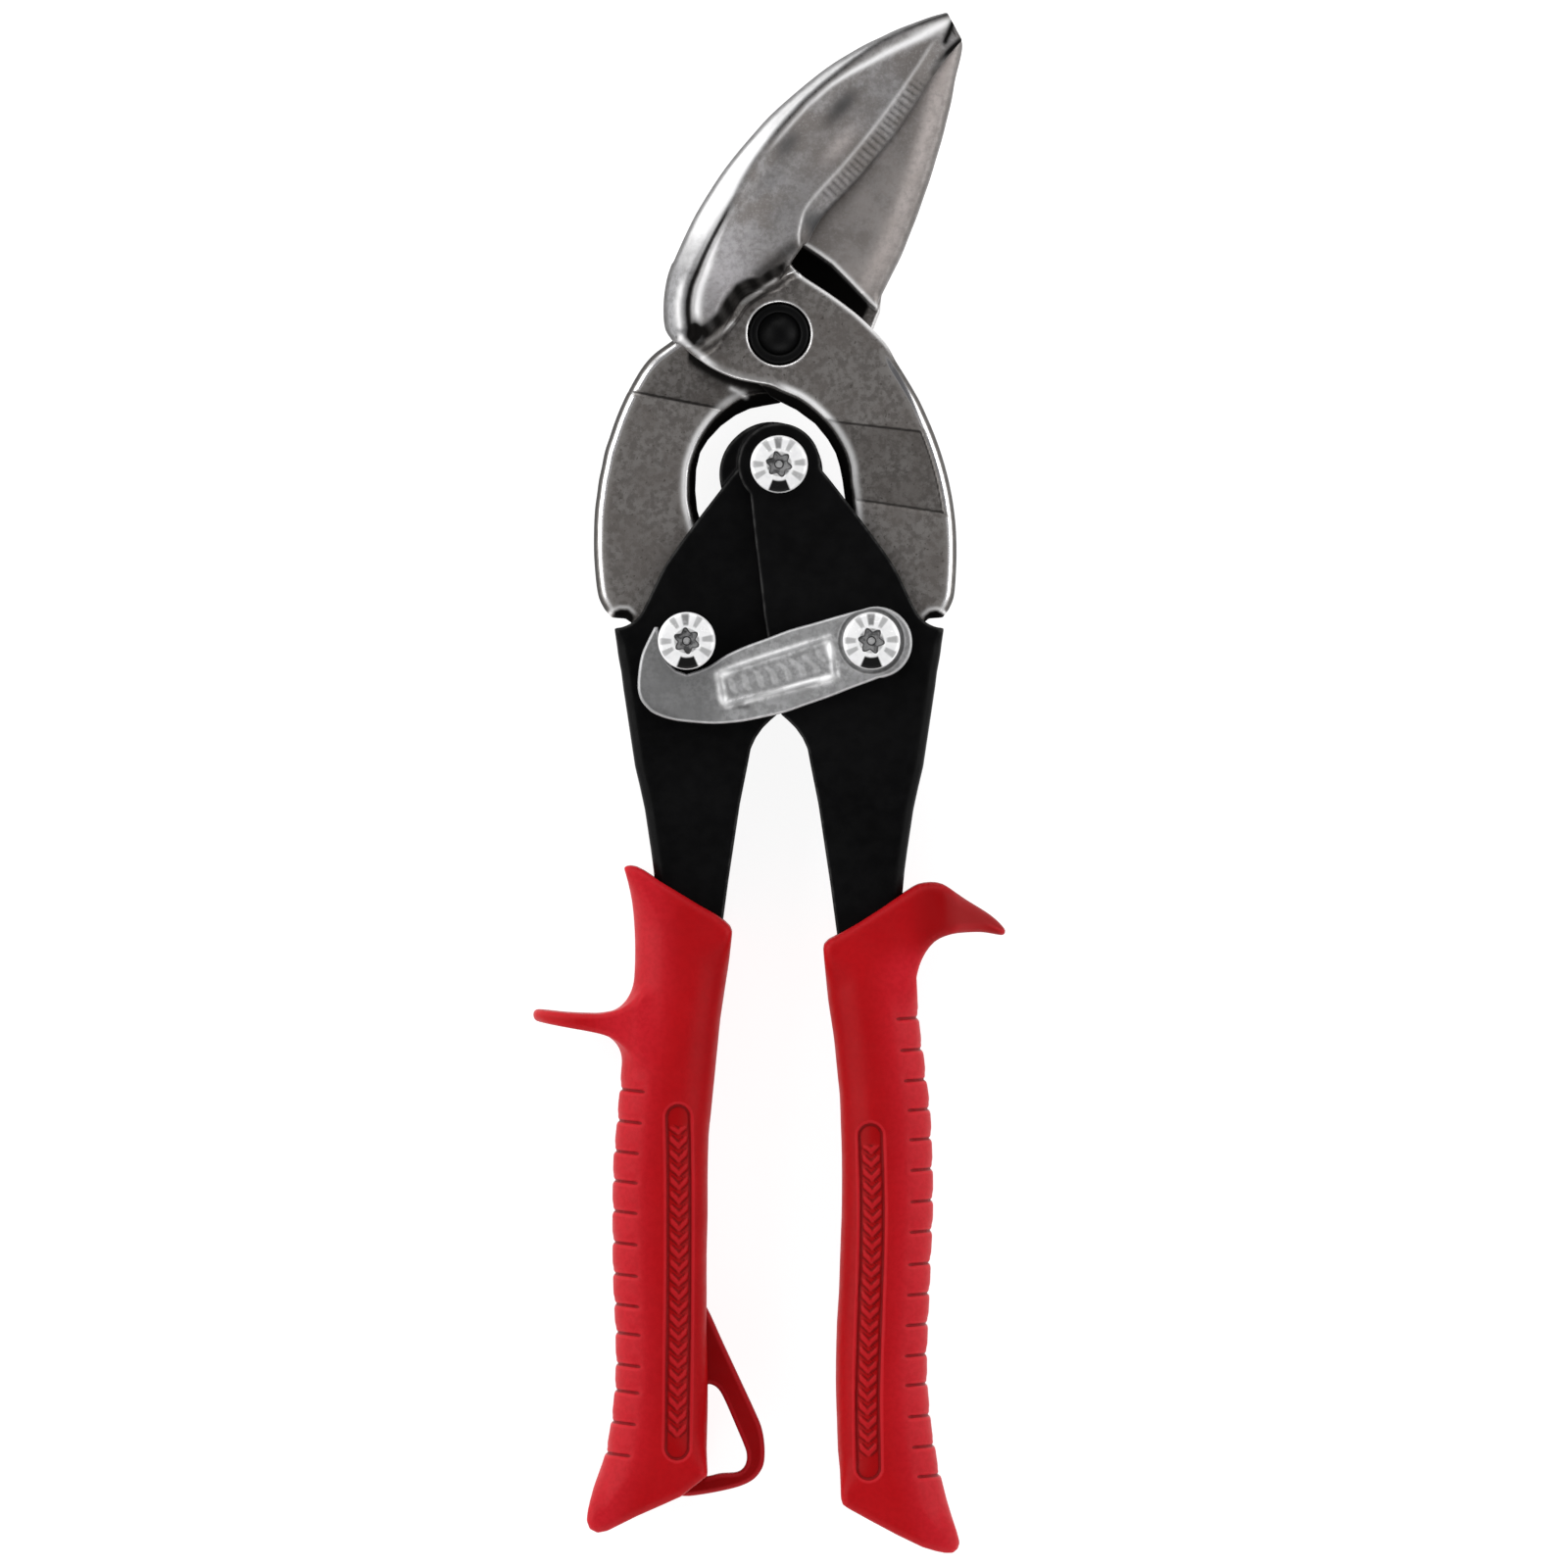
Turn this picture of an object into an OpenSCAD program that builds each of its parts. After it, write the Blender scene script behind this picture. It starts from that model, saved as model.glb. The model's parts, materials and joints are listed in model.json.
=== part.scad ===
// Offset aviation snips: compound-leverage sheet-metal shears.
// Two forged blades turn on one pivot; their tangs are pinned inside two folded steel
// handles, which turn on each other at a second pivot. A latch holds the handles shut.
// Frame: the blade pivot's axis is +Z, +Y points to the jaws, +X is right, +Z is front,
// and z = 0 is the bench the tool lies on, back face down.

/* [Linkage] */
// Half the distance between the two tang pins when shut
pin_half = 14.1; // [13.9:0.05:14.3]
// Distance from the blade pivot down to the tang pins
pin_drop = 47.0; // [46.8:0.05:47.2]
// Distance from the blade pivot down to the handle pivot
handle_drop = 20.0; // [19.8:0.05:20.2]
// Height of the blades' meeting plane above the bench
mid_z = 10.5; // [10.5:0.1:12]

/* [Blades] */
// Thickness of each blade around its pivot
blade_t = 5.0; // [4.8:0.05:5.0]
// Thickness of the tangs
tang_t = 7.9; // [7.0:0.1:7.9]
// Length added to the jaws' height above the shear plane
jaw_rise = 7.0; // [6:0.25:8]
// Depth of the machined step on the front blade's tang
step_d = 0.5; // [0.2:0.05:0.7]

/* [Handles] */
// Sheet thickness of the handle cheeks
sheet_t = 1.9; // [1.6:0.05:1.9]
// Width of the web along the outer edge of each handle channel
web_t = 2.0; // [1.6:0.1:2.2]
// Radius of the nose around the handle pivot
nose_r = 6.3; // [6:0.1:6.5]

/* [Grips] */
// Half thickness of the moulded grips
grip_h = 9.5; // [9.3:0.1:9.5]
// Thickness of the hang loop's strap
loop_t = 4.2; // [3:0.1:5]
// Half width of the thumb rest
rest_h = 8.5; // [7:0.1:9]

/* [Fasteners] */
// Radius of the three link bolts' shanks
link_r = 2.5; // [2.4:0.05:2.6]
// Radius of the link bolts' round heads
head_r = 4.4; // [4.2:0.1:4.6]
// Radius of the blade pivot bolt's shank
pivot_r = 3.2; // [3:0.05:3.4]
// Radius of the round nut sunk into the front blade
disc_r = 4.65; // [4.5:0.05:4.7]
// Running clearance of the pins in the blades
run_c = 0.06; // [0.04:0.01:0.08]

/* [Spring and latch] */
// Mean radius of the spring's coil
coil_r = 7.0; // [6.8:0.1:7.1]
// Diameter of the spring wire
wire_d = 1.6; // [1.4:0.05:1.6]
// Thickness of the latch
latch_t = 1.8; // [1.5:0.1:1.9]

/* [Hidden] */
$fn = 64;
gap = 0.05;                     // between neighbouring faces
fit_c = 0.03;                   // radial clearance of parts fixed on a link bolt
thread_c = 0.02;                // radial clearance of nuts on their shanks
shear_z = 5;                    // shear plane of the jaws, above the meeting plane
cheek_z = 5;                    // nominal inner face of a handle's far cheek

blade_pivot = [0, 0];
left_pin = [-pin_half, -pin_drop];     // rear blade's tang pin, in the left handle
right_pin = [pin_half, -pin_drop];     // front blade's tang pin, in the right handle
handle_pivot = [0, -handle_drop];

steel = [0.55, 0.53, 0.51];
blackened = [0.04, 0.04, 0.045];
zinc = [0.82, 0.82, 0.84];
red = [0.74, 0.06, 0.08];

// ---------- curves and lofts ----------
// Catmull-Rom point, the given part of the way from points[i] to points[i + 1]
function span_point(points, i, part) = let (
        before = points[max(0, i - 1)], start = points[i],
        end = points[i + 1], after = points[min(len(points) - 1, i + 2)])
    0.5 * (2*start + (end - before)*part
        + (2*before - 5*start + 4*end - after)*part*part
        + (3*start - before - 3*end + after)*part*part*part);

// smooth curve through the points
span_steps = 4;
function curve(points) = concat(
    [for (i = [0:len(points) - 2], k = [0:span_steps - 1]) span_point(points, i, k/span_steps)],
    [points[len(points) - 1]]);

// the point at a share, 0 to 1, of the way along the points
function at(points, share) = let (
        spans = len(points) - 1, place = share*spans, i = min(floor(place), spans - 1))
    span_point(points, i, place - i);

function reversed(list) = [for (i = [len(list) - 1:-1:0]) list[i]];
function mean(points) = [for (point = points) 1] * points / len(points);
function shift_x(points, x) = [for (point = points) point + [x, 0]];

// cross-section ring over an [x, y] span; profile rows are
// [share of the span, height from the meeting plane]
function section(origin, span, profile) = [for (row = profile)
    [origin[0] + span[0]*row[0], origin[1] + span[1]*row[0], mid_z + row[1]]];

// closed skin over rings of equal length, capped at both ends by fans to their centres
module skin(rings) {
    sides = len(rings[0]);
    last = len(rings) - 1;
    centre = len(rings)*sides;  // index of the first ring's centre
    points = concat([for (ring = rings, point = ring) point], [mean(rings[0]), mean(rings[last])]);
    corners = [for (i = [0:last - 1], k = [0:sides - 1]) [i*sides + k, i*sides + (k + 1) % sides]];
    polyhedron(points, concat(
        [for (pair = corners) [pair[0], pair[1], pair[0] + sides]],
        [for (pair = corners) [pair[1], pair[1] + sides, pair[0] + sides]],
        [for (k = [0:sides - 1]) [centre, (k + 1) % sides, k]],
        [for (k = [0:sides - 1]) [centre + 1, last*sides + k, last*sides + (k + 1) % sides]]));
}

// ---------- placing; every z is measured from the meeting plane ----------
module put(place, z) translate([place[0], place[1], mid_z + z]) children();
module lift(z, height) put([0, 0], z) linear_extrude(height) children();
module rod(place, radius, from, to) put(place, from) cylinder(r = radius, h = to - from);
module tube(place, outer, bore, from, to) difference() {
    rod(place, outer, from, to);
    rod(place, bore, from - 1, to + 1);
}
// extrudes an [x, z] outline, symmetric in z, towards +Y
module along_y(y, z, length) put([0, y], z) rotate([-90, 0, 0]) linear_extrude(length) children();
// turns a right-hand piece into its twin on the left, half a turn about +Y
module twin() translate([0, 0, mid_z]) rotate([0, 180, 0]) translate([0, 0, -mid_z]) children();

// ---------- blade outlines: tables of [x, y] from the blade pivot ----------
// tang edges, top to bottom
right_tang_outer = [[13.0, 3.2], [16.5, -1.4], [21.0, -8.9], [24.9, -17.9], [27.0, -26.9],
    [27.45, -33.0], [27.3, -38.1], [26.4, -42.2]];
right_tang_inner = [[1.0, -8.6], [5.6, -10.8], [8.6, -13.4], [10.7, -17.1], [11.6, -22.4],
    [11.8, -27.0], [10.6, -34.0], [7.0, -42.5]];
left_tang_outer = [[-18.4, -1.4], [-20.4, -4.4], [-24.9, -13.4], [-27.3, -22.4],
    [-28.05, -32.9], [-27.7, -38.1], [-26.6, -42.2]];
left_tang_inner = [[-3.4, -9.3], [-8.7, -12.6], [-11.8, -15.7], [-13.4, -20.1], [-13.5, -27.0],
    [-11.6, -34.0], [-7.0, -42.5]];
stop_y = -43.6;                 // shoulder that the handle's web meets when fully open
eye_r = 8.2;                    // tang eye around its pin

// foot of a tang, from the outer edge to the inner; side is 1 for right, -1 for left
function tang_foot(side) = [for (point = [[25.2, stop_y], [21.6, stop_y], [20.4, -46],
    [14, -50], [7, -46]]) [side*point[0], point[1]]];
module eye(pin) translate(pin) circle(eye_r);

module front_plan() {
    polygon(concat(curve(right_tang_outer), tang_foot(1), reversed(curve(right_tang_inner)),
        [[-3.4, -7.4], [-7.2, -6.2], [-12.5, -3.3], [-15.4, -1.0], [-16.6, 1.5], [-16.8, 5.2],
         [-14.8, 11.6], [-10.4, 18.2], [-3.4, 22.6], [0.4, 20.4], [2.2, 14.6], [1.8, 11.0]]));
    eye(right_pin);
}
module rear_plan() {
    polygon(concat(
        [[14.4, 3.2], [15.9, 6.2], [18.9, 12.2], [21.3, 18.2], [24.3, 27.2], [26.7, 36.2],
         [28.0, 42.2], [28.2, 45.2], [26.2, 45.4], [13.0, 28.6], [5.4, 18.4], [1.9, 14.1],
         [-5.5, 10.6], [-11.5, 6.4], [-16.4, 1.2]],
        curve(left_tang_outer), tang_foot(-1), reversed(curve(left_tang_inner)),
        [[0.5, -9.4], [6.0, -8.2], [11.0, -4.6], [13.6, -0.6]]));
    eye(left_pin);
}
// the stretch of tang that has the full tang thickness
module tang_zone(side, inner_y, outer_y)
    polygon([[side*6, inner_y], [side*32, outer_y], [side*32, -60], [side*2, -60]]);

// ---------- blades ----------
jaw_steps = 14;
function jaw_scale(share) = 1 - 0.62*share;    // jaws thin towards the tip

// front jaw's edges in plan, from the pivot to the tip
front_outer = [[-15.5, -1.0], [-17.2, 5.0], [-14.6, 13.7], [-9.6, 22.7], [-3.0, 31.2],
    [5.0, 38.6], [15.0, 44.9], [25.6, 49.0]];
front_cut = [[1.7, 11.0], [3.6, 13.8], [6.7, 17.5], [10.6, 21.4], [15.0, 27.0], [19.5, 32.6],
    [23.6, 39.6], [28.0, 45.0]];
function front_ring(share) = let (
        outer = at(front_outer, share), scale = jaw_scale(share), base = shear_z + gap,
        top = base + jaw_rise*scale, cut_top = base + 0.5*jaw_rise*scale, middle = (top + cut_top)/2)
    section(outer, at(front_cut, share) - outer,
        [[1, base], [0.86, cut_top], [0.66, middle - 1.1*scale], [0.44, middle - 0.5*scale],
         [0.2, top], [0.1, top - 0.8*scale], [0.02, (top + shear_z)/2], [0, shear_z + 0.6],
         [0.06, base]]);

front_c = 0.27;                 // radial clearance in the front blade's pivot hole and recess
recess_z = 2;                   // floor of the recess for the round nut

module front_blade() color(steel) difference() {
    union() {
        lift(gap, blade_t - gap) front_plan();
        lift(cheek_z - gap - tang_t, tang_t) intersection() {
            front_plan();
            tang_zone(1, -25.6, -28.2);
        }
        skin([for (i = [0:jaw_steps]) front_ring(i/jaw_steps)]);
        // root that joins the jaw to the plate
        lift(3, 3.5) polygon([[-15.3, -0.6], [-16.6, 5.2], [-14.0, 12.2], [-9.6, 18.4],
            [-2.6, 21.8], [0.2, 20.0], [1.6, 14.6], [1.2, 11.2], [-6.6, 6.6]]);
    }
    rod(blade_pivot, pivot_r + front_c, -1, 6);
    rod(blade_pivot, disc_r + front_c, recess_z, 6);
    rod(right_pin, link_r + run_c, -6, 6);
    // machined step
    lift(blade_t - step_d, 2) polygon([[9.9, -14.4], [34, -15.6], [34, -27.4], [9, -26.2]]);
}

// rear jaw's edges in plan, from the pivot to the tip
rear_cut = [[2.2, 14.3], [6.0, 19.2], [10.0, 24.4], [14.4, 29.9], [18.6, 35.3], [22.6, 40.6],
    [26.2, 45.2]];
rear_outer = [[14.2, 5.9], [17.4, 9.2], [20.1, 15.2], [22.9, 22.4], [25.2, 30.2], [27.1, 38.0],
    [28.2, 45.0]];
// flat shear face on top, outer side rounded away
function rear_ring(share) = let (cut = at(rear_cut, share), scale = jaw_scale(share))
    section(cut, at(rear_outer, share) - cut,
        // [share of the span, depth below the shear plane at the pivot end]
        [for (row = [[0, 0], [0, 10], [0.75, 10], [0.97, 7.6], [1, 3.6], [0.94, 1.6], [0.7, 0]])
            [row[0], shear_z - row[1]*scale]]);

module rear_blade() color(steel) difference() {
    union() {
        lift(-blade_t, blade_t - gap) intersection() {
            rear_plan();
            // keeps the plate short of the jaw
            polygon([[-40, -70], [40, -70], [40, 11], [20, 17], [8, 24], [-40, 24]]);
        }
        lift(gap - cheek_z, tang_t) intersection() {
            rear_plan();
            tang_zone(-1, -12.4, -7.7);
        }
        skin([for (i = [0:jaw_steps]) rear_ring(i/jaw_steps)]);
    }
    rod(blade_pivot, pivot_r + run_c, -6, 6);
    rod(left_pin, link_r + run_c, -6, 6);
}

// ---------- blade pivot ----------
pivot_head_flats = 12;
pivot_washer_t = 1;
washer_back = -blade_t - gap - pivot_washer_t;

module pivot_bolt() color(blackened) {
    head_top = washer_back - gap;
    cylinder(r = pivot_head_flats / sqrt(3), h = mid_z + head_top, $fn = 6);
    rod(blade_pivot, pivot_r, head_top - 0.1, 4.5);
}
module pivot_washer() color(blackened)
    tube(blade_pivot, outer = 7.4, bore = pivot_r + 0.05, from = washer_back, to = -blade_t - gap);
module pivot_nut() color(blackened)
    tube(blade_pivot, outer = disc_r, bore = pivot_r + thread_c, from = recess_z + gap, to = 4.85);

// ---------- handles: one folded stamping, used twice ----------
// right handle's edges, [x, y]: outer from the top down, inner from the bottom up
handle_outer = [[25.2, -45.1], [24.6, -50.9], [23.9, -56.9], [23.1, -62.9], [21.9, -68.9],
    [20.8, -74.9], [20.0, -80.9], [19.6, -90], [19.6, -100], [20.3, -115], [21.2, -130],
    [21.4, -145], [21.2, -160], [21.6, -168]];
handle_inner = [[11.9, -168], [11.7, -155], [11.9, -140], [11.6, -125], [10.9, -110],
    [9.9, -96], [8.85, -86.9], [8.1, -80.9], [7.2, -74.9], [6.1, -68.9], [4.8, -62.6],
    [3.2, -60.0], [1.0, -58.7]];

module cheek() {
    polygon(concat(
        [[0, -26], [4, -24], [6.3, -20.6], [7.3, -21.9], [11.9, -26.9], [17.9, -35.9],
         [21.6, -42.6], [22.5, -44.2], [23.5, -45.0]],
        handle_outer, handle_inner,
        [[-0.6, -52], [-2.0, -43.6], [-3.5, -29.8], [-4.1, -23.8], [-4.9, -18.6]]));
    translate(handle_pivot) circle(nose_r);
}
module channel() difference() {
    union() {
        for (side = [1, -1]) lift(side*cheek_z + gap, sheet_t) cheek();
        lift(-cheek_z + gap, 2*cheek_z + sheet_t)
            polygon(concat(handle_outer, reversed(shift_x(handle_outer, -web_t))));
    }
    rod(right_pin, link_r + fit_c, -9, 9);
    rod(handle_pivot, link_r + run_c, -9, 9);
}
module right_handle() color(blackened) channel();
module left_handle() color(blackened) twin() channel();

// ---------- grips ----------
// edges in plan, [x, y], top to bottom
left_grip_outer = [[-23.2, -81.4], [-22.0, -90], [-21.9, -99], [-23.5, -109], [-24.4, -120],
    [-25.05, -131], [-24.9, -142], [-24.5, -152], [-24.9, -161], [-26.2, -169], [-28.2, -177],
    [-28.4, -182.6]];
left_grip_inner = [[-7.3, -91.3], [-7.4, -96], [-8.2, -103], [-9.3, -111], [-10.2, -120.5],
    [-10.6, -131], [-10.6, -142], [-10.5, -151], [-10.45, -159], [-10.4, -165.5], [-10.6, -171],
    [-11.2, -175.0]];
right_grip_outer = [[24.3, -84.4], [22.6, -92], [21.5, -99.5], [22.3, -109], [23.4, -120],
    [23.85, -131], [23.7, -142], [23.4, -152], [23.3, -161], [23.9, -169], [25.6, -177],
    [27.2, -184.6]];
right_grip_inner = [[7.3, -94], [7.5, -98.5], [8.1, -104], [9.0, -111], [9.7, -120.5],
    [9.8, -131], [9.55, -142], [9.2, -151], [9.1, -160], [9.2, -167], [9.4, -173], [10.2, -178]];

grip_z = 1;                     // right grip's middle plane; the left's is at -grip_z
grip_steps = 22;
grip_sides = 20;
grip_squareness = 4.2;          // superellipse exponent of the section

function squared(wave) = sign(wave)*pow(abs(wave), 2/grip_squareness);
function grip_ring(outer, inner, z, half) = section((outer + inner)/2, (inner - outer)/2,
    [for (k = [0:grip_sides - 1]) let (angle = 360*(k + 0.5)/grip_sides)
        [squared(cos(angle)), z + half*squared(sin(angle))]]);

// flip reverses the rings, so that the left grip's faces also point outwards
module grip_body(outer, inner, z, flip) {
    rings = [for (i = [0:grip_steps]) let (
            share = i/grip_steps, end_scale = 1 - 0.10*pow(abs(2*share - 1), 6))
        grip_ring(at(outer, share), at(inner, share), z, grip_h*1.02*end_scale)];
    intersection() {
        skin(flip ? reversed(rings) : rings);
        // flattens the front and back
        lift(z - grip_h, 2*grip_h) square([200, 400], center = true);
    }
}
// room for the right handle
module cavity() lift(-cheek_z, 12) polygon(concat(shift_x(handle_outer, gap),
    [[21.6, -168.1], [11.8, -168.1]], shift_x(handle_inner, -gap)));

// a tongue that stands out square to the left grip, its corners rounded
module thumb_rest() {
    tip_x = -37.7;
    intersection() {
        lift(-grip_z - rest_h, 2*rest_h) polygon([[-18, -100], [-22.2, -101.6],
            [-25.6, -103.4], [-29, -104.2], [-37.2, -103.6], [tip_x, -104.4], [-37.2, -105.4],
            [-29, -106.2], [-25.4, -107.4], [-23.4, -110.4], [-18, -110]]);
        along_y(-120, -grip_z, 30) union() {
            translate([tip_x + rest_h, 0]) circle(rest_h);
            translate([tip_x + rest_h, -rest_h]) square([14, 2*rest_h]);
        }
    }
}
module hang_loop() lift(-grip_z - loop_t/2, loop_t) difference() {
    polygon([[-12.8, -146], [-10.6, -149.1], [-2.3, -167.4], [-1.9, -169.4], [-2.0, -171.4],
        [-2.9, -174.0], [-4.8, -175.9], [-7.0, -176.6], [-14.2, -177.9], [-14.2, -172]]);
    polygon([[-10.8, -161.1], [-9.2, -161.3], [-7.9, -162.6], [-4.7, -169.9], [-4.5, -171.6],
        [-4.9, -173.2], [-6.2, -174.1], [-10.8, -174.8]]);
}
// a beak that hooks outwards from the right grip
module finger_guard() {
    guard_h = 8;                // half width
    intersection() {
        lift(grip_z - guard_h, 2*guard_h) polygon([[21, -88], [24.0, -84.6], [26.4, -84.1],
            [28.8, -84.6], [31.6, -87.2], [34.9, -91.0], [34.4, -92.0], [31.4, -91.9],
            [28.6, -91.8], [26.0, -92.9], [24.0, -94.6], [22.4, -97.0], [21, -99.6]]);
        along_y(-110, grip_z, 40) polygon([[18, -guard_h], [25, -7.4], [32, -4.6], [34.4, -3.2],
            [35.2, -1.6], [35.2, 1.6], [34.4, 3.2], [32, 4.6], [25, 7.4], [18, guard_h]]);
    }
}
module left_grip() color(red) difference() {
    union() {
        grip_body(left_grip_outer, left_grip_inner, -grip_z, true);
        thumb_rest();
        hang_loop();
    }
    twin() cavity();
}
module right_grip() color(red) difference() {
    union() {
        grip_body(right_grip_outer, right_grip_inner, grip_z, false);
        finger_guard();
    }
    cavity();
}

// ---------- link bolts, nuts, sleeve and collar ----------
head_rim = 1.7;                 // height of the head's straight rim
link_nut_flats = 8;
pin_head_z = 9.3;               // underside of the tang pins' heads
deep_nut_z = -7;                // front face of the left link and handle pivot nuts
deep_nut_h = 3.4;
deep_bolt_end = -10.1;

// round head with a bevelled top and a hexagonal socket, on a plain shank
module link_bolt(place, under, end) color(zinc) {
    difference() {
        union() {
            rod(place, head_r, under, under + head_rim);
            put(place, under + head_rim) cylinder(r1 = head_r, r2 = head_r - 0.9, h = 0.8);
        }
        put(place, under + 1.0) cylinder(r = 1.7, h = 3, $fn = 6);
    }
    rod(place, link_r, end, under + 0.4);
}
module link_nut(place, top, height) color(zinc) difference() {
    put(place, top - height) cylinder(r = link_nut_flats / sqrt(3), h = height, $fn = 6);
    rod(place, link_r + thread_c, -12, 0);
}
module left_link_bolt() link_bolt(left_pin, pin_head_z, deep_bolt_end);
module left_link_nut() link_nut(left_pin, deep_nut_z, deep_nut_h);
module right_link_bolt() link_bolt(right_pin, pin_head_z, end = -8.8);
module right_link_nut() link_nut(right_pin, top = -5, height = 4.2);
module handle_pivot_bolt() link_bolt(handle_pivot, under = 7.05, end = deep_bolt_end);
module handle_pivot_nut() link_nut(handle_pivot, deep_nut_z, deep_nut_h);
module spring_sleeve() color(zinc)
    tube(handle_pivot, outer = 4.2, bore = link_r + 0.04, from = -3, to = 3);
module latch_catch_collar() color(zinc)
    tube(left_pin, outer = 3.3, bore = link_r + fit_c, from = 5, to = 9.25);

// ---------- torsion spring ----------
coil_centre = [-1.1, -handle_drop - 1.2];
coil_turns = 2.6;
coil_steps = 46;
coil_h = coil_turns*(wire_d + 0.04);    // turns at a pitch just over the wire
wire_sides = 10;

// wire centre line: left leg, coil, right leg
function spring_path() = let (back = -coil_h/2) concat(
    [[-5.6, -40.8, back], [-7.1, -33.5, back], [-8.05, -26.0, back]],
    [for (i = [0:coil_steps]) let (share = i/coil_steps, angle = 180 - 360*coil_turns*share)
        [coil_centre[0] + coil_r*cos(angle), coil_centre[1] + coil_r*sin(angle),
         back + coil_h*share]],
    [[-1.6, -35.5, -back], [3.2, -40.4, -back], [5.1, -42.6, -back]]);
function unit(vector) = vector / norm(vector);

module torsion_spring() color(blackened) {
    path = spring_path();
    last = len(path) - 1;
    skin([for (i = [0:last]) let (
            ahead = unit(path[min(i + 1, last)] - path[max(i - 1, 0)]),
            side = unit(cross(ahead, [0, 0, 1])), up = cross(side, ahead))
        [for (k = [0:wire_sides - 1]) let (angle = 360*k/wire_sides)
            path[i] + [0, 0, mid_z] + wire_d/2*(side*cos(angle) + up*sin(angle))]]);
}

// ---------- latch ----------
// upper edge from right to left, then the left end and lower edge from left to right
latch_upper = [[15.8, -41.6], [8.9, -43.3], [2.0, -45.5], [-4.9, -48.1], [-8.3, -49.6],
    [-10.4, -51.0], [-14.1, -52.0], [-18.2, -45.0]];
latch_lower = [[-18.9, -44.9], [-20.7, -49.6], [-21.2, -53.1], [-19.8, -57.2], [-15.2, -59.25],
    [-7.0, -59.55], [-2.8, -58.8], [5.5, -56.7], [10.7, -54.7], [16.6, -51.8]];

module latch() color(zinc) difference() {
    lift(7.2, latch_t) difference() {
        union() {
            polygon(concat(latch_upper, curve(latch_lower), [right_pin]));
            translate(right_pin) circle(6.15);
        }
        translate(left_pin) circle(4.0);
        // mouth that lets the catch out as the latch swings down
        translate(left_pin) polygon([[-3.95, -0.6], [-4.4, 2.4], [0, 8], [4.6, 3], [3.6, -1.8]]);
    }
    rod(right_pin, link_r + run_c, 0, 12);
}
module latch_washer() color(zinc)
    tube(right_pin, outer = 4.6, bore = link_r + fit_c, from = 6.97, to = 7.17);

front_blade();
rear_blade();
pivot_bolt();
pivot_washer();
pivot_nut();
left_handle();
right_handle();
left_grip();
right_grip();
left_link_bolt();
left_link_nut();
right_link_bolt();
right_link_nut();
handle_pivot_bolt();
handle_pivot_nut();
spring_sleeve();
torsion_spring();
latch();
latch_washer();
latch_catch_collar();
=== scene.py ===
"""Aviation snips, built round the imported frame.

They lie flat with the jaws towards +Y, the handles towards -Y and the latch on the upper
side, +Z. Lengths are millimetres, with z measured from the plane where the blades meet;
they become metres when a mesh is made.
"""
import json
import math
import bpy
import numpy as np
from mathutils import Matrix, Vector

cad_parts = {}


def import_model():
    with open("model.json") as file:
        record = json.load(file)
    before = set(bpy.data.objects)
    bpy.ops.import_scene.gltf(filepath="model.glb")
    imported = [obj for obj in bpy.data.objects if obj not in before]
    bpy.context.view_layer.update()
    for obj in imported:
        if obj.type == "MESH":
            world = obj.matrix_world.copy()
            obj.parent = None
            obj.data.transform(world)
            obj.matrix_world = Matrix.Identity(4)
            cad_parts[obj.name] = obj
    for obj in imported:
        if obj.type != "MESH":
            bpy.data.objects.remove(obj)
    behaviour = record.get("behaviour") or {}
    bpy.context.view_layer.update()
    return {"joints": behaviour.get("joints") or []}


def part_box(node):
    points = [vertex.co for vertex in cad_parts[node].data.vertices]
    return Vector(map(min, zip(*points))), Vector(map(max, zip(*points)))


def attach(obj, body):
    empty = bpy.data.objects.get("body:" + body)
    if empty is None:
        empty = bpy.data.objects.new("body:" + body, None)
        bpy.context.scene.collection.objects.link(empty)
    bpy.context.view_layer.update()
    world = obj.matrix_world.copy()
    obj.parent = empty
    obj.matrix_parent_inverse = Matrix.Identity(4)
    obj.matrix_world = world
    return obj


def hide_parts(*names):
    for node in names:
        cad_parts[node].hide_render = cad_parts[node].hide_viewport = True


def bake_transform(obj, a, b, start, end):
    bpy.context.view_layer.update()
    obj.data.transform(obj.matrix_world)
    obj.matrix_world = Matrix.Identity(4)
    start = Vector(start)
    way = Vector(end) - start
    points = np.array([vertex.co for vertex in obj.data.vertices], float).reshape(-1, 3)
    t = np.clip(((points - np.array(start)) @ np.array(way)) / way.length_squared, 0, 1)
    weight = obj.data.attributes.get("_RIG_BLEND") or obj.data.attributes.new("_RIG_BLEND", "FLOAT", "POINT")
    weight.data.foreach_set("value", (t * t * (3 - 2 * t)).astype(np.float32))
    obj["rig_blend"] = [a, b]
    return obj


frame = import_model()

from types import SimpleNamespace
import bpy
import numpy as np
import openvdb
from mathutils import Vector

MM = 0.001
JOINTS = {joint["name"]: joint["pos_m"] for joint in frame["joints"]}
MEET_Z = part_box("rear_blade")[0].z / MM + 5.0         # height of the blades' meeting plane
BLADE_PIVOT = np.array([0.0, 0.0])
REAR_PIVOT, FRONT_PIVOT, HANDLE_PIVOT = (
    np.array(JOINTS[name][:2]) / MM
    for name in ("rear_blade_pivot", "front_blade_pivot", "handle_pivot"))


# ------------------------------------------------------------------ lines and blends
def points(text):
    """Points written as x,y pairs with spaces between."""
    return np.array([[float(v) for v in pair.split(",")] for pair in text.split()])


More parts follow.
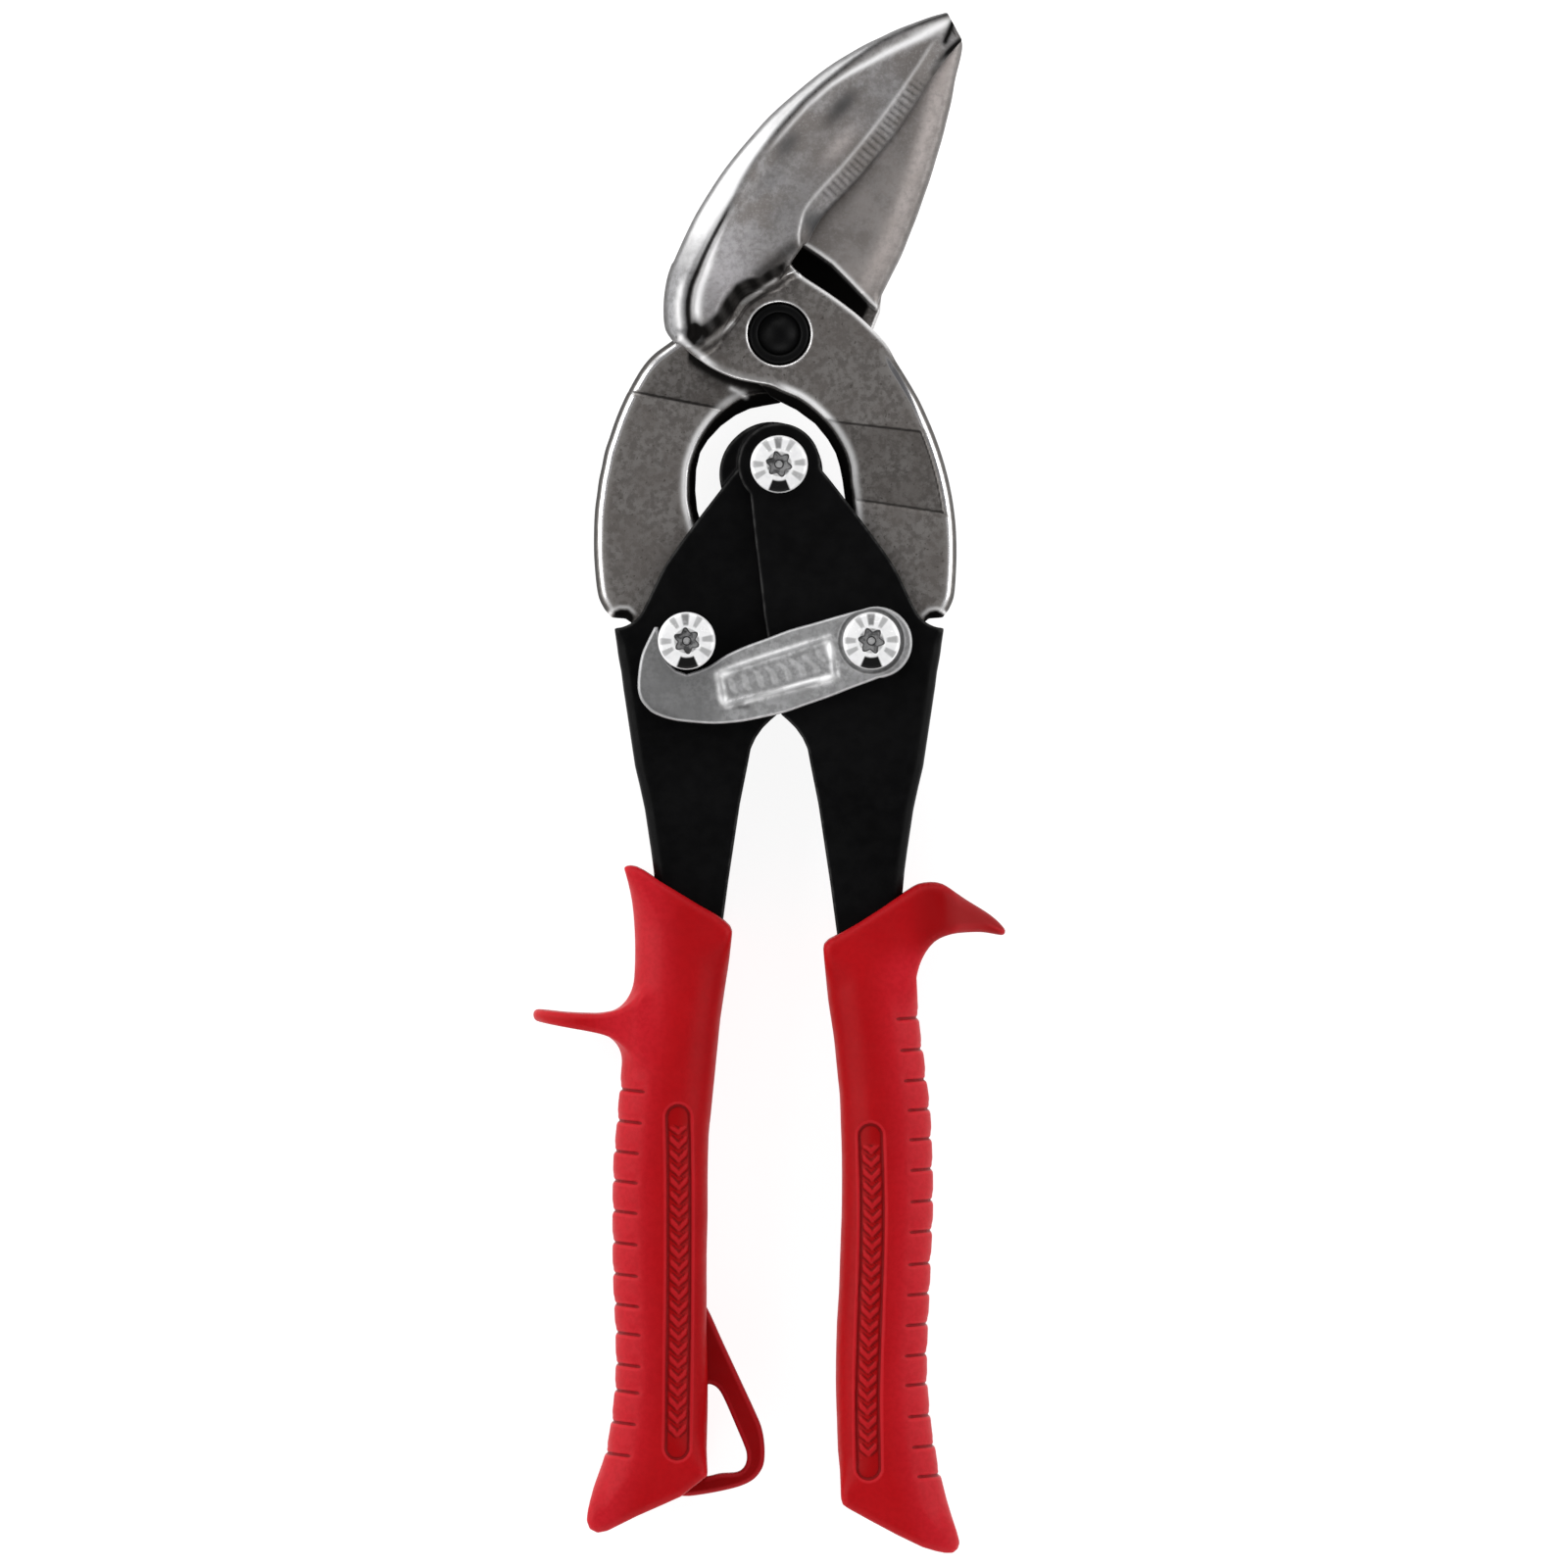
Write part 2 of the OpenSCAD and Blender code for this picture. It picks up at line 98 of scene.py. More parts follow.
def curve(path, parts):
    """Smooth curve through the points, each span cut into equal parts."""
    path = np.asarray(path, float)
    last = len(path) - 1
    smooth = []
    for i in range(last):
        a, b, c, d = (path[min(max(i + k, 0), last)] for k in (-1, 0, 1, 2))
        for k in range(parts):
            t = k / parts
            smooth.append(0.5 * (2 * b + (c - a) * t + (2 * a - 5 * b + 4 * c - d) * t * t
                                 + (3 * b - a - 3 * c + d) * t ** 3))
    smooth.append(path[-1])
    return np.array(smooth)


def tall(flat):
    """A 2-D map given a third axis; a plain number passes through."""
    return flat[:, :, None] if np.ndim(flat) == 2 else flat


def round_max(a, b, radius):
    """Intersection with a round edge."""
    u, v = a + radius, b + radius
    return np.minimum(np.maximum(u, v), 0) + np.hypot(np.maximum(u, 0), np.maximum(v, 0)) - radius


def soft_min(a, b, width):
    """Union with a fillet."""
    share = np.clip(0.5 + 0.5 * (b - a) / width, 0, 1)
    return b + (a - b) * share - width * share * (1 - share)


def soft_max(a, b, width):
    return -soft_min(-a, -b, width)


def step(start, end, value):
    """Smooth step, 0 at start and 1 at end; end may be the smaller."""
    t = np.clip((value - start) / (end - start), 0, 1)
    return t * t * (3 - 2 * t)


def gauss(value, width):
    return np.exp(-(value / width) ** 2)


def largest(*maps):
    return np.maximum.reduce(maps)


def unit(values):
    return np.clip(values, 0, 1)


def blur(flat, times=1):
    for _ in range(times):
        pad = np.pad(flat, 1, mode="edge")
        flat = (pad[:-2, 1:-1] + pad[2:, 1:-1] + pad[1:-1, :-2] + pad[1:-1, 2:] + 4 * flat) / 8
    return flat


def add_mesh(name, verts, faces, smooth=True):
    mesh = bpy.data.meshes.new(name)
    mesh.from_pydata(verts, [], faces)
    if smooth:
        mesh.polygons.foreach_set("use_smooth", np.ones(len(faces), bool))
    mesh.update()
    ob = bpy.data.objects.new(name, mesh)
    bpy.context.scene.collection.objects.link(ob)
    return ob


class Field:
    """A block of space for shaping one piece by distance, negative inside.

    x and y are 2-D maps and z is a third axis.
    """

    def __init__(self, low, high, cell):
        self.low, self.cell = np.array(low, float), cell
        x, y = np.meshgrid(*(np.arange(low[k], high[k] + cell, cell) for k in (0, 1)),
                           indexing="ij")
        self.axes = x, y, np.arange(low[2], high[2] + cell, cell)[None, None, :]

    def nearest(self, path, closed=False):
        """Distance to a line of points, and how far along it the nearest place lies."""
        x, y, _ = self.axes
        best, along, done = np.full(x.shape, 1e9), np.zeros(x.shape), 0.0
        pairs = list(zip(path, np.roll(path, -1, axis=0)))
        for start, end in pairs if closed else pairs[:-1]:
            way = end - start
            square = max(way @ way, 1e-12)
            from_x, from_y = x - start[0], y - start[1]
            t = np.clip((from_x * way[0] + from_y * way[1]) / square, 0, 1)
            dx, dy = from_x - way[0] * t, from_y - way[1] * t
            gap = dx * dx + dy * dy
            closer = gap < best
            best[closer] = gap[closer]
            along[closer] = (done + t * math.sqrt(square))[closer]
            done += math.sqrt(square)
        return np.sqrt(best), along

    def line(self, path):
        return self.nearest(path)[0]

    def inside(self, path):
        x, y, _ = self.axes
        result = np.zeros(x.shape, bool)
        for a, b in zip(path, np.roll(path, -1, axis=0)):
            if a[1] != b[1]:
                crosses = (a[1] <= y) != (b[1] <= y)
                result ^= crosses & (x < a[0] + (y - a[1]) * (b[0] - a[0]) / (b[1] - a[1]))
        return result

    def outline(self, path):
        """Signed distance to a closed outline."""
        distance = self.nearest(path, closed=True)[0]
        return np.where(self.inside(path), -distance, distance)

    def circle(self, centre, radius=0.0):
        x, y, _ = self.axes
        return np.hypot(x - centre[0], y - centre[1]) - radius

    def spot(self, centre, radius):
        return gauss(self.circle(centre), radius)

    def strokes(self, *rows):
        """Soft lines; each row is strength, half width and points."""
        return largest(*(strength * gauss(self.line(points(text)), width)
                         for strength, width, text in rows))

    def slope(self, height):
        """Factor that turns a vertical gap above a height map into a distance."""
        gx, gy = np.gradient(height, self.cell)
        return 1 / np.sqrt(1 + gx * gx + gy * gy)

    def under(self, height, least=0.0):
        """The space below a height map."""
        return (self.axes[2] - tall(height)) * tall(np.clip(self.slope(height), least, 1))

    def plate(self, outline, bottom, top, top_round, bottom_round):
        """An outline given thickness and round edges."""
        z = self.axes[2]
        solid = round_max(tall(outline), z - top, tall(top_round))
        return round_max(solid, bottom - z, bottom_round)

    def bore(self, solid, centre, radius):
        return np.maximum(solid, -tall(self.circle(centre, radius)))

    def sample(self, values, places):
        """Values at places in space, by trilinear interpolation."""
        q = (places - self.low) / self.cell
        q = np.clip(q, 0, np.array(values.shape) - 1.001)
        i = np.floor(q).astype(int)
        f = q - i
        total = 0
        for a in (0, 1):
            for b in (0, 1):
                for c in (0, 1):
                    weight = ((f[:, 0] if a else 1 - f[:, 0]) * (f[:, 1] if b else 1 - f[:, 1])
                              * (f[:, 2] if c else 1 - f[:, 2]))
                    total = total + weight * values[i[:, 0] + a, i[:, 1] + b, i[:, 2] + c]
        return total

    def around(self, solid, places, reach):
        """Samples before and after each place along x, y and z."""
        return [(self.sample(solid, places + axis * reach), self.sample(solid, places - axis * reach))
                for axis in np.eye(3)]

    def mesh(self, name, solid, **marks):
        """The surface of the solid as a smooth mesh; marks are kept as point attributes."""
        cell = self.cell
        solid = np.ascontiguousarray(solid, dtype=np.float32)
        for side in (0, -1):
            solid[side] = solid[:, side] = solid[:, :, side] = 3 * cell
        grid = openvdb.FloatGrid(3 * cell)
        grid.copyFromArray(np.clip(solid, -3 * cell, 3 * cell))
        verts, tris, quads = grid.convertToPolygons(0.0, 0.0)
        verts = self.low + verts.astype(float) * cell
        # pull the points onto the surface
        reach = 0.6 * cell
        for _ in range(2):
            value = self.sample(solid, verts)
            pairs = self.around(solid, verts, reach)
            grad = np.stack([after - before for after, before in pairs], 1) / (2 * reach)
            move = (value / np.maximum((grad * grad).sum(1), 0.05))[:, None] * grad
            length = np.linalg.norm(move, axis=1)[:, None]
            verts = verts - move * np.minimum(1, 0.4 * cell / np.maximum(length, 1e-9))
        # faces look outwards when the enclosed volume is positive
        faces = [tuple(q) for q in quads[:, ::-1]] + [tuple(t) for t in tris[:, ::-1]]
        a, b, c, d = (verts[k] for k in quads[:, ::-1].astype(int).T)
        volume = (np.einsum("ij,ij->i", a, np.cross(b, c)).sum()
                  + np.einsum("ij,ij->i", a, np.cross(c, d)).sum())
        if volume < 0:
            faces = [face[::-1] for face in faces]
        ob = add_mesh(name, ((verts + np.array([0, 0, MEET_Z])) * MM).tolist(), faces)
        # how sharply the surface bends: above 0 on edges, below 0 in grooves
        reach = 1.5 * cell
        bend = (sum(after + before for after, before in self.around(solid, verts, reach))
                - 6 * self.sample(solid, verts))
        values = {"bend": np.clip(bend / (reach * reach), -4, 4)}
        flat = verts.copy()
        flat[:, 2] = self.low[2]
        for key, mark in marks.items():
            mark = np.repeat(np.asarray(mark, dtype=np.float32)[:, :, None], 2, 2)
            values[key] = self.sample(mark, flat)
        for key, value in values.items():
            attribute = ob.data.attributes.new(key, "FLOAT", "POINT")
            attribute.data.foreach_set("value", np.ascontiguousarray(value, dtype=np.float32))
        ob.data.update()
        return ob


# ------------------------------------------------------------------ both blades
BLADE_CELL = 0.25
# lower edge of the front blade, from the left of the boss down the inside of its tang
UNDER = curve(points("""
    -15.75,-1.05 -14.7,-1.8 -13.35,-3 -11.25,-4.65 -8.85,-6 -6.45,-6.9 -3.75,-7.5 -1.35,-7.95
    0.75,-8.85 3.15,-9.9 5.4,-11.55 7.8,-13.95 9.3,-16.2 10.35,-18.3 10.95,-20.55 11.1,-22.65
    11.4,-24.6 11.7,-28.35 11.85,-31.35 10.95,-35.85 9.45,-38.85"""), 3)
# inner limits of the forging draft, between the tangs
RING_RIGHT = points("""
    -2.85,-7.65 -1.35,-9.45 0.3,-10.35 2.7,-11.55 5.55,-13.65 7.5,-16.05 8.7,-18.15 9.3,-20.1
    9.75,-22.35 10.05,-24.6 10.5,-27.6 10.95,-30.6 11.1,-32.85""")
RING_LEFT = points("""
    0.3,-10.35 -2.25,-10.8 -4.5,-11.25 -6.75,-12.3 -9,-13.95 -10.95,-16.05 -12.15,-18
    -12.75,-20.55 -12.9,-23.85 -12.6,-26.85 -11.4,-31.05 -9.9,-35.55 -8.85,-38.55""")


def tang_round(outer_gap):
    """How far the tang's large edge radius reaches in from its outer side."""
    return 1 - step(2.0, 5.0, outer_gap)


def add_draft(field, body, plan, draft, top, bottom):
    """The sloping shelf left by the forging die inside the ring."""
    z = field.axes[2]
    lid = np.maximum(z - top + tall(0.9 * np.maximum(plan.body, 0)), bottom - z)
    return soft_min(body, round_max(tall(draft) - 0.05, lid, 0.3), 0.3)


def ring_shade(field, plan):
    return step(0.0, 0.22, plan.body) * step(1.2, 0.4, plan.draft) * (field.axes[1] < -6.0)


def tang_polish_highlight(field, outer_gap, middle, width, levels, haze_start):
    """Bright line beside the tang's polished outer edge, a painted highlight; levels run up the tang."""
    line = gauss(outer_gap - middle, width)
    return unit(line * np.interp(field.axes[1], [-45, -33, -22, -5], levels)
                + 0.22 * step(haze_start, 1.4, outer_gap))


# ------------------------------------------------------------------ front blade
# the jaw's lines, each from the tip down: outer edge, top of the rolled rim, ridge, cutting edge
JAW_OUTER = points("""
    25.65,49.05 23.4,48.45 21.3,47.7 18.15,46.5 15.6,45.3 13.05,44.1 10.95,42.9 8.25,41.25
    5.4,39.15 1.8,36.15 -1.5,33.15 -4.2,30.15 -6.75,27.15 -9,24.15 -10.95,21.15 -12.75,18.15
    -14.25,15.15 -15.6,12.15 -16.8,9.15 -17.4,6.15 -17.55,3.15 -17.25,0.6 -16.05,-1.2""")
JAW_SHOULDER = points("""
    25.95,48.75 23.25,47.85 21.3,47.1 19.5,46.35 17.55,45.45 15.75,44.55 14.25,43.65 12.75,42.6
    11.25,41.55 9.75,40.35 8.25,39.15 6.75,37.95 5.25,36.6 3.75,35.25 2.25,33.6 0.75,31.95
    -0.75,30.15 -2.1,28.5 -3.45,26.7 -4.5,25.05 -5.7,22.95 -6.75,20.85 -7.95,18.6 -9,16.65
    -10.05,14.7 -10.95,12.9 -11.85,10.95 -12.6,9.15 -13.35,7.35 -13.8,5.4 -13.95,3.45
    -13.8,1.65 -13.65,-0.15""")
JAW_RIDGE = points("""
    25.95,47.55 24.45,45.75 22.95,43.65 21.45,41.25 19.8,38.85 18.15,36.45 16.5,34.2
    14.85,31.95 13.05,29.7 11.25,27.45 9.45,25.35 7.65,23.4 6,21.6 4.65,19.95 3.75,18.45
    3.3,16.8 3,15.15 3.15,13.65""")
JAW_CUT = points("""
    28.05,44.85 26.4,43.05 24.9,41.1 23.4,39 21.9,36.75 20.4,34.35 18.9,32.1 17.4,30 15.9,28.05
    14.4,26.25 12.75,24.3 11.25,22.65 9.75,21.15 8.4,19.8 7.2,18.45 6.15,17.1 5.25,15.6
    4.5,14.1 3.6,13.35""")
# foot of the jaw round the boss, from right to left
JAW_FOOT = points("""
    1.65,10.65 0.3,10.05 -0.9,9 -1.95,8.55 -3,8.55 -4.05,8.25 -5.7,7.65 -7.05,6.6 -8.1,5.25
    -9,3.6 -9.75,2.1 -10.65,0.45 -11.7,-0.9 -13.05,-1.65 -14.7,-1.8""")
# boss and tang: right side, heel, and the side under the jaw
FRONT_RIGHT = curve(points("""
    1.65,10.65 2.55,9.6 4.05,8.55 7.5,6.3 10.2,4.35 12.75,2.25 16.2,-1.35 17.85,-4.2 19.35,-6.6
    20.7,-8.85 21.9,-11.1 23.85,-15.6 25.35,-20.1 26.4,-24.6 27,-29.1 27.15,-33.6 27,-37.65
    26.7,-40.35 25.95,-42.15"""), 3)
FRONT_HEEL = points("""
    25.05,-43.35 22.95,-43.5 22.05,-44.25 21.45,-46.05 20.4,-49.05 18,-52.35 14.1,-55.35
    9.75,-53.85 6.75,-49.65 6.75,-44.85 8.25,-41.1""")
FRONT_JAW_SIDE = points("""
    -16.35,0.75 -15.75,6.15 -12.45,11.85 -5.25,16.35 0.75,16.35 2.55,13.65""")
LEDGE = curve(points("-0.45,8.1 -2.85,6.6 -5.55,4.65 -6.75,2.85 -8.55,0.75 -10.95,-1.35"), 3)
# painted shade in the hollow between the jaw's foot and the boss
COVE = points("""
    1.65,11.7 0.3,10.95 -1.5,10.2 -3,9 -4.35,8.7 -5.55,8.4 -6.75,7.65 -7.5,6.6 -8.25,5.7
    -9,4.35 -9.6,3.3 -10.5,2.4 -11.85,1.5 -12.9,1.2 -14.1,0.75 -14.7,-0.6 -13.35,-2.25
    -11.85,-2.25 -10.65,-1.35 -8.25,0.9 -6.3,2.85 -4.95,4.5 -2.85,6.15 -0.45,7.65 1.05,9.3""")
FRONT_HEEL_SPOT = points("""
    21.9,-44.25 22.2,-43.2 23.1,-42.45 24.15,-42.3 25.2,-42.9 25.8,-43.95 23.25,-44.85""")


def front_plan(field):
    """Maps seen from above: distances from lines, and the zones between them."""
    x, y, _ = field.axes
    outer, shoulder, ridge, cut, foot = (
        curve(path, 3) for path in (JAW_OUTER, JAW_SHOULDER, JAW_RIDGE, JAW_CUT, JAW_FOOT))
    plan = SimpleNamespace(
        outer=field.line(outer), shoulder=field.line(shoulder), cut=field.line(cut),
        foot=field.line(foot), right=field.line(FRONT_RIGHT), ledge=field.line(LEDGE))
    plan.ridge, along_ridge = field.nearest(ridge)
    body = np.concatenate([FRONT_RIGHT, FRONT_HEEL, UNDER[::-1], FRONT_JAW_SIDE])
    plan.body = np.minimum(field.outline(body), field.circle(FRONT_PIVOT, 8.2))
    ring_side = UNDER[(UNDER[:, 1] > -36.0) & (UNDER[:, 0] > -3.2)]
    plan.draft = field.outline(np.concatenate([ring_side, RING_RIGHT[::-1]]))
    plan.jaw = field.outline(np.concatenate([outer[::-1], cut, foot]))
    outside = plan.jaw > 0
    plan.in_rim = (field.inside(np.concatenate([outer, shoulder[::-1]]))
                   | (plan.outer < plan.shoulder) & outside)
    plan.in_bevel = (field.inside(np.concatenate([ridge, cut[::-1]]))
                     | (plan.cut < plan.ridge) & outside)
    # machined recess across the tang, with scribed edges
    plan.upper = (y + 14.1) + 0.115 * (x - 15)
    plan.lower = (y + 26.2) + 0.15 * (x - 17)
    plan.recess = (step(0.25, -0.25, plan.upper) * step(-0.25, 0.25, plan.lower)
                   * step(1.5, 1.8, plan.right))
    plan.scribe = (gauss(plan.upper, 0.26) * step(1.4, 2.0, plan.right)
                   + gauss(plan.lower, 0.26) * step(1.0, 1.8, plan.right))
    # fine teeth across the bevel, about 1 mm apart
    plan.across_bevel = plan.ridge / (plan.ridge + plan.cut + 1e-6)
    teeth = 0.5 + 0.5 * np.sin(along_ridge * 2 * math.pi / 1.0 + 0.8 * np.sin(along_ridge * 0.7))
    plan.hatch = (teeth * step(0.05, 0.25, plan.across_bevel)
                  * (1 - step(0.85, 1.0, plan.across_bevel))
                  * step(19.5, 21.5, y) * step(40.0, 37.5, y) * plan.in_bevel)
    # groove at the rim's shoulder, wider towards the boss
    plan.groove = gauss(plan.shoulder, 0.30 + 0.38 * step(15.0, 4.0, y))
    return plan


def front_body(field, plan):
    """Boss and tang."""
    x, y, z = field.axes
    edge = 0.45 + 1.15 * tang_round(plan.right) * step(-3.0, -14.0, y)
    top = 5.0 - 0.20 * plan.recess - 0.10 * plan.scribe
    body = round_max(tall(plan.body), field.under(top), tall(edge))
    body = round_max(body, 0.05 - z, 0.3)
    # the lower tang is deeper, down between the handle's cheeks
    deep = np.maximum(plan.body, (y + 26.9) + 0.13 * (x - 17))
    body = np.minimum(body, field.plate(deep, -2.9, 4.0, 0.3, 0.8))
    return add_draft(field, body, plan, np.minimum(plan.draft, 9), top=3.9, bottom=0.05)


def front_jaw(field, plan):
    """Rolled rim, groove, hollow face, ridge and bevel, on a foot that leans out."""
    x, y, z = field.axes
    towards_tip = np.array([0.661, 0.750])
    s = unit(((x + 12) * towards_tip[0] + (y - 3) * towards_tip[1]) / 58.0)
    rim_top = 11.9 - 2.6 * step(0.25, 1.0, s) - 1.0 * step(0.10, -0.02, s)
    ridge_top = 8.9 - 1.7 * step(0.2, 1.0, s)
    rim_foot, cut_top = 6.1, 5.55
    t = 0.035 + 0.965 * plan.outer / (plan.outer + plan.shoulder + 1e-6)
    rim = rim_foot + (rim_top - rim_foot) * np.sqrt(unit(1 - (1 - t) ** 2.2))
    t = plan.shoulder / (plan.shoulder + plan.ridge + 1e-6)
    face = rim_top + (ridge_top - rim_top) * t - 0.9 * (4 * t * (1 - t)) * (1 - 0.5 * s)
    face += 0.22 * gauss(plan.shoulder - 0.9, 0.5) * step(0.0, 0.6, plan.ridge)
    bevel = ridge_top + (cut_top - ridge_top) * plan.across_bevel - 0.10 * plan.hatch
    height = np.where(plan.in_rim, rim, np.where(plan.in_bevel, bevel, face))
    depth = 0.35 * step(28.5, 32.0, y) + 0.8 * step(21.0, 15.0, y)
    height = height - (0.6 * depth * plan.groove * step(0.0, 1.2, plan.ridge)
                       * step(0.3, 1.0, plan.outer))
    under = field.under(blur(height), least=0.3)
    jaw = round_max(tall(plan.jaw), under, 0.35)
    jaw = round_max(jaw, 5.05 - z, 0.25)
    lean = np.maximum(tall(plan.jaw) + (z - 12.0) * 0.30, under)
    lean = soft_max(lean, 5.05 - z, 0.3)
    lean = np.maximum(lean, tall(plan.foot - 7.0))
    return np.minimum(jaw, np.maximum(lean, tall(plan.body)))


def front_painted_highlights(field, plan, rim, heel):
    """Painted highlights along edges, lines and ledges."""
    x, y, _ = field.axes
    face = np.where(~plan.in_rim & (plan.jaw < 0.3), 1.0, 0.0)
    on_body = step(0.1, -0.1, plan.body)
    on_jaw = step(0.5, -0.2, plan.jaw)
    along_rim = np.interp(y, [5, 9, 12, 16, 20, 28, 33, 37, 42, 46],
                          [.2, .22, .3, .75, 1, 1, .6, .5, .4, .2])
    # line on the face beside the shoulder: offset, width and strength up the jaw
    offset = np.where(y > 24, 0.85 + 1.0 * step(37.5, 43.0, y) - 0.75 * step(44.5, 48.0, y),
                      0.55 + 0.85 * step(20, 5, y))
    width = np.where(y > 24, 0.30 + 0.25 * step(36, 42, y), 0.20 + 0.50 * step(18, 5, y))
    strength = np.interp(y, [1, 3, 12, 17, 20, 27, 30, 36, 40],
                         [.7, 1, 1, .55, 0, 0, .45, .75, 1])
    along_under = (np.interp(x, [-15.6, -10.8, -9.0, -0.5, 1.2, 30], [1, 1, .25, .2, 1, 1])
                   * np.interp(y, [-36, -26, -21], [0.45, 0.8, 1]))
    lite = largest(
        along_rim * step(0.40, 0.80, plan.outer) * step(0.05, 0.5, plan.shoulder) * rim
        * step(9.0, 11.0, y),
        0.95 * gauss(plan.shoulder - 1.35, 0.48) * step(9.5, 6.0, y) * rim * step(0.3, 1.0, y),
        strength * gauss(plan.shoulder - offset, width) * face,
        0.40 * gauss(plan.ridge, 0.22) * on_jaw * step(46.0, 43.0, y),
        field.strokes((0.42, 0.26, "-0.45,8.25 -2.85,6.6 -5.55,4.65"),
                      (0.32, 0.28, "-7.05,1.65 -9,0 -11.1,-1.65"),
                      (0.22, 0.34, "-10.95,1.8 -11.7,0.75 -11.85,-0.75")),
        along_under * gauss(field.line(UNDER) - 0.58, 0.50) * on_body * step(-15.8, -15.0, x),
        0.9 * gauss(plan.right - 0.30, 0.26) * on_body * step(1.4, 3.0, x) * step(-3.0, 1.0, y),
        0.85 * gauss(heel - 0.30, 0.24) * step(-43.6, -42.9, y))
    return unit(lite * (1 - ring_shade(field, plan)))


def front_dark(field, plan, rim, heel):
    """Painted shade in grooves, hollows, scribed lines and along edges; the machined recess darker too."""
    x, y, _ = field.axes
    on_jaw = step(0.5, -0.2, plan.jaw)
    on_body = plan.body < -0.3
    near_tip, near_boss = step(27.5, 31.0, y), step(21.5, 18.0, y)
    hollow = largest(
        (0.80 * near_tip + 0.97 * near_boss) * plan.groove
        * step(0.25, 0.7, plan.outer + near_tip),
        (0.91 + 0.05 * np.sin(x * 2.1 + y * 1.3)) * step(0.40, -0.60, field.outline(COVE)),
        field.strokes((0.74, 1.25, "1.95,13.05 0.6,11.85 -1.05,10.5 -3,9")))
    hollow = hollow * (1 - 0.9 * unit(2.0 * gauss(plan.ledge, 0.26)))
    rim_end = unit(1.6 * gauss(np.hypot((x + 12.9) * 0.9, (y - 0.1) * 0.7), 1.3))
    dark = largest(
        hollow,
        rim_end * step(-0.6, 0.2, y + 1.9),
        field.strokes(
            (0.80, 0.42, "0.6,7.95 -0.75,7.05 -2.55,6 -4.35,4.65"),
            (0.72, 0.40, "-8.25,-0.3 -10.05,-1.8 -11.55,-2.55"),
            (1.15, 0.50, "26.7,48 26.25,46.65 25.35,44.55"),
            (0.55 + 0.75 * step(41.0, 44.0, y), 0.58,
             "27.75,44.7 25.95,43.05 24.45,41.4 23.55,39.75")),
        0.15 * rim * step(16.5, 12.0, y) * step(-0.5, 1.0, y),
        0.46 * plan.hatch * on_jaw,
        (0.50 + 0.25 * step(32.0, 26.0, y)) * gauss(plan.cut, 0.36) * on_jaw
        * step(17.0, 19.0, y),
        unit(plan.scribe * 0.75) * on_body,
        0.10 * step(1.0, 0.5, np.minimum(np.abs(plan.upper), np.abs(plan.lower)))
        * (plan.right > 1.0) * on_body,
        0.40 * plan.recess,
        0.35 * gauss(plan.right - 1.75, 0.2) * step(0.4, -0.4, plan.upper)
        * step(-0.4, 0.4, plan.lower),
        ring_shade(field, plan),
        step(0.15, -0.15, heel))
    return unit(dark)


def front_painted_reflections(field, plan):
    """Painted reflections: light and dark clouds on the jaw."""
    x, y, _ = field.axes
    tone = 0.50 * field.spot((-8.8, 7.6), 6.0) + 0.20 * field.spot((-5.0, 15.0), 7.0)
    u, v = (x * 0.661 + y * 0.750), (y * 0.661 - x * 0.750)
    # place along and across the jaw, squeeze along it, radius, strength
    for along, across, squeeze, radius, strength in (
            (28.0, 12.1, 0.32, 1.5, 0.70), (32.0, 15.7, 0.36, 1.5, -0.85),
            (22.6, 18.1, 0.55, 1.6, -0.68), (16.0, 16.4, 0.40, 1.8, -0.46),
            (13.6, 11.8, 0.50, 1.6, -0.36), (40.5, 12.5, 0.50, 1.4, 0.18)):
        tone += strength * gauss(np.hypot((u - along) * squeeze, v - across), radius)
    tone += (-0.28 * step(0.6, 0.0, plan.cut / 2.0) * plan.in_bevel
             - 0.75 * field.spot((4.9, 17.2), 2.4) * plan.in_bevel)
    return tone


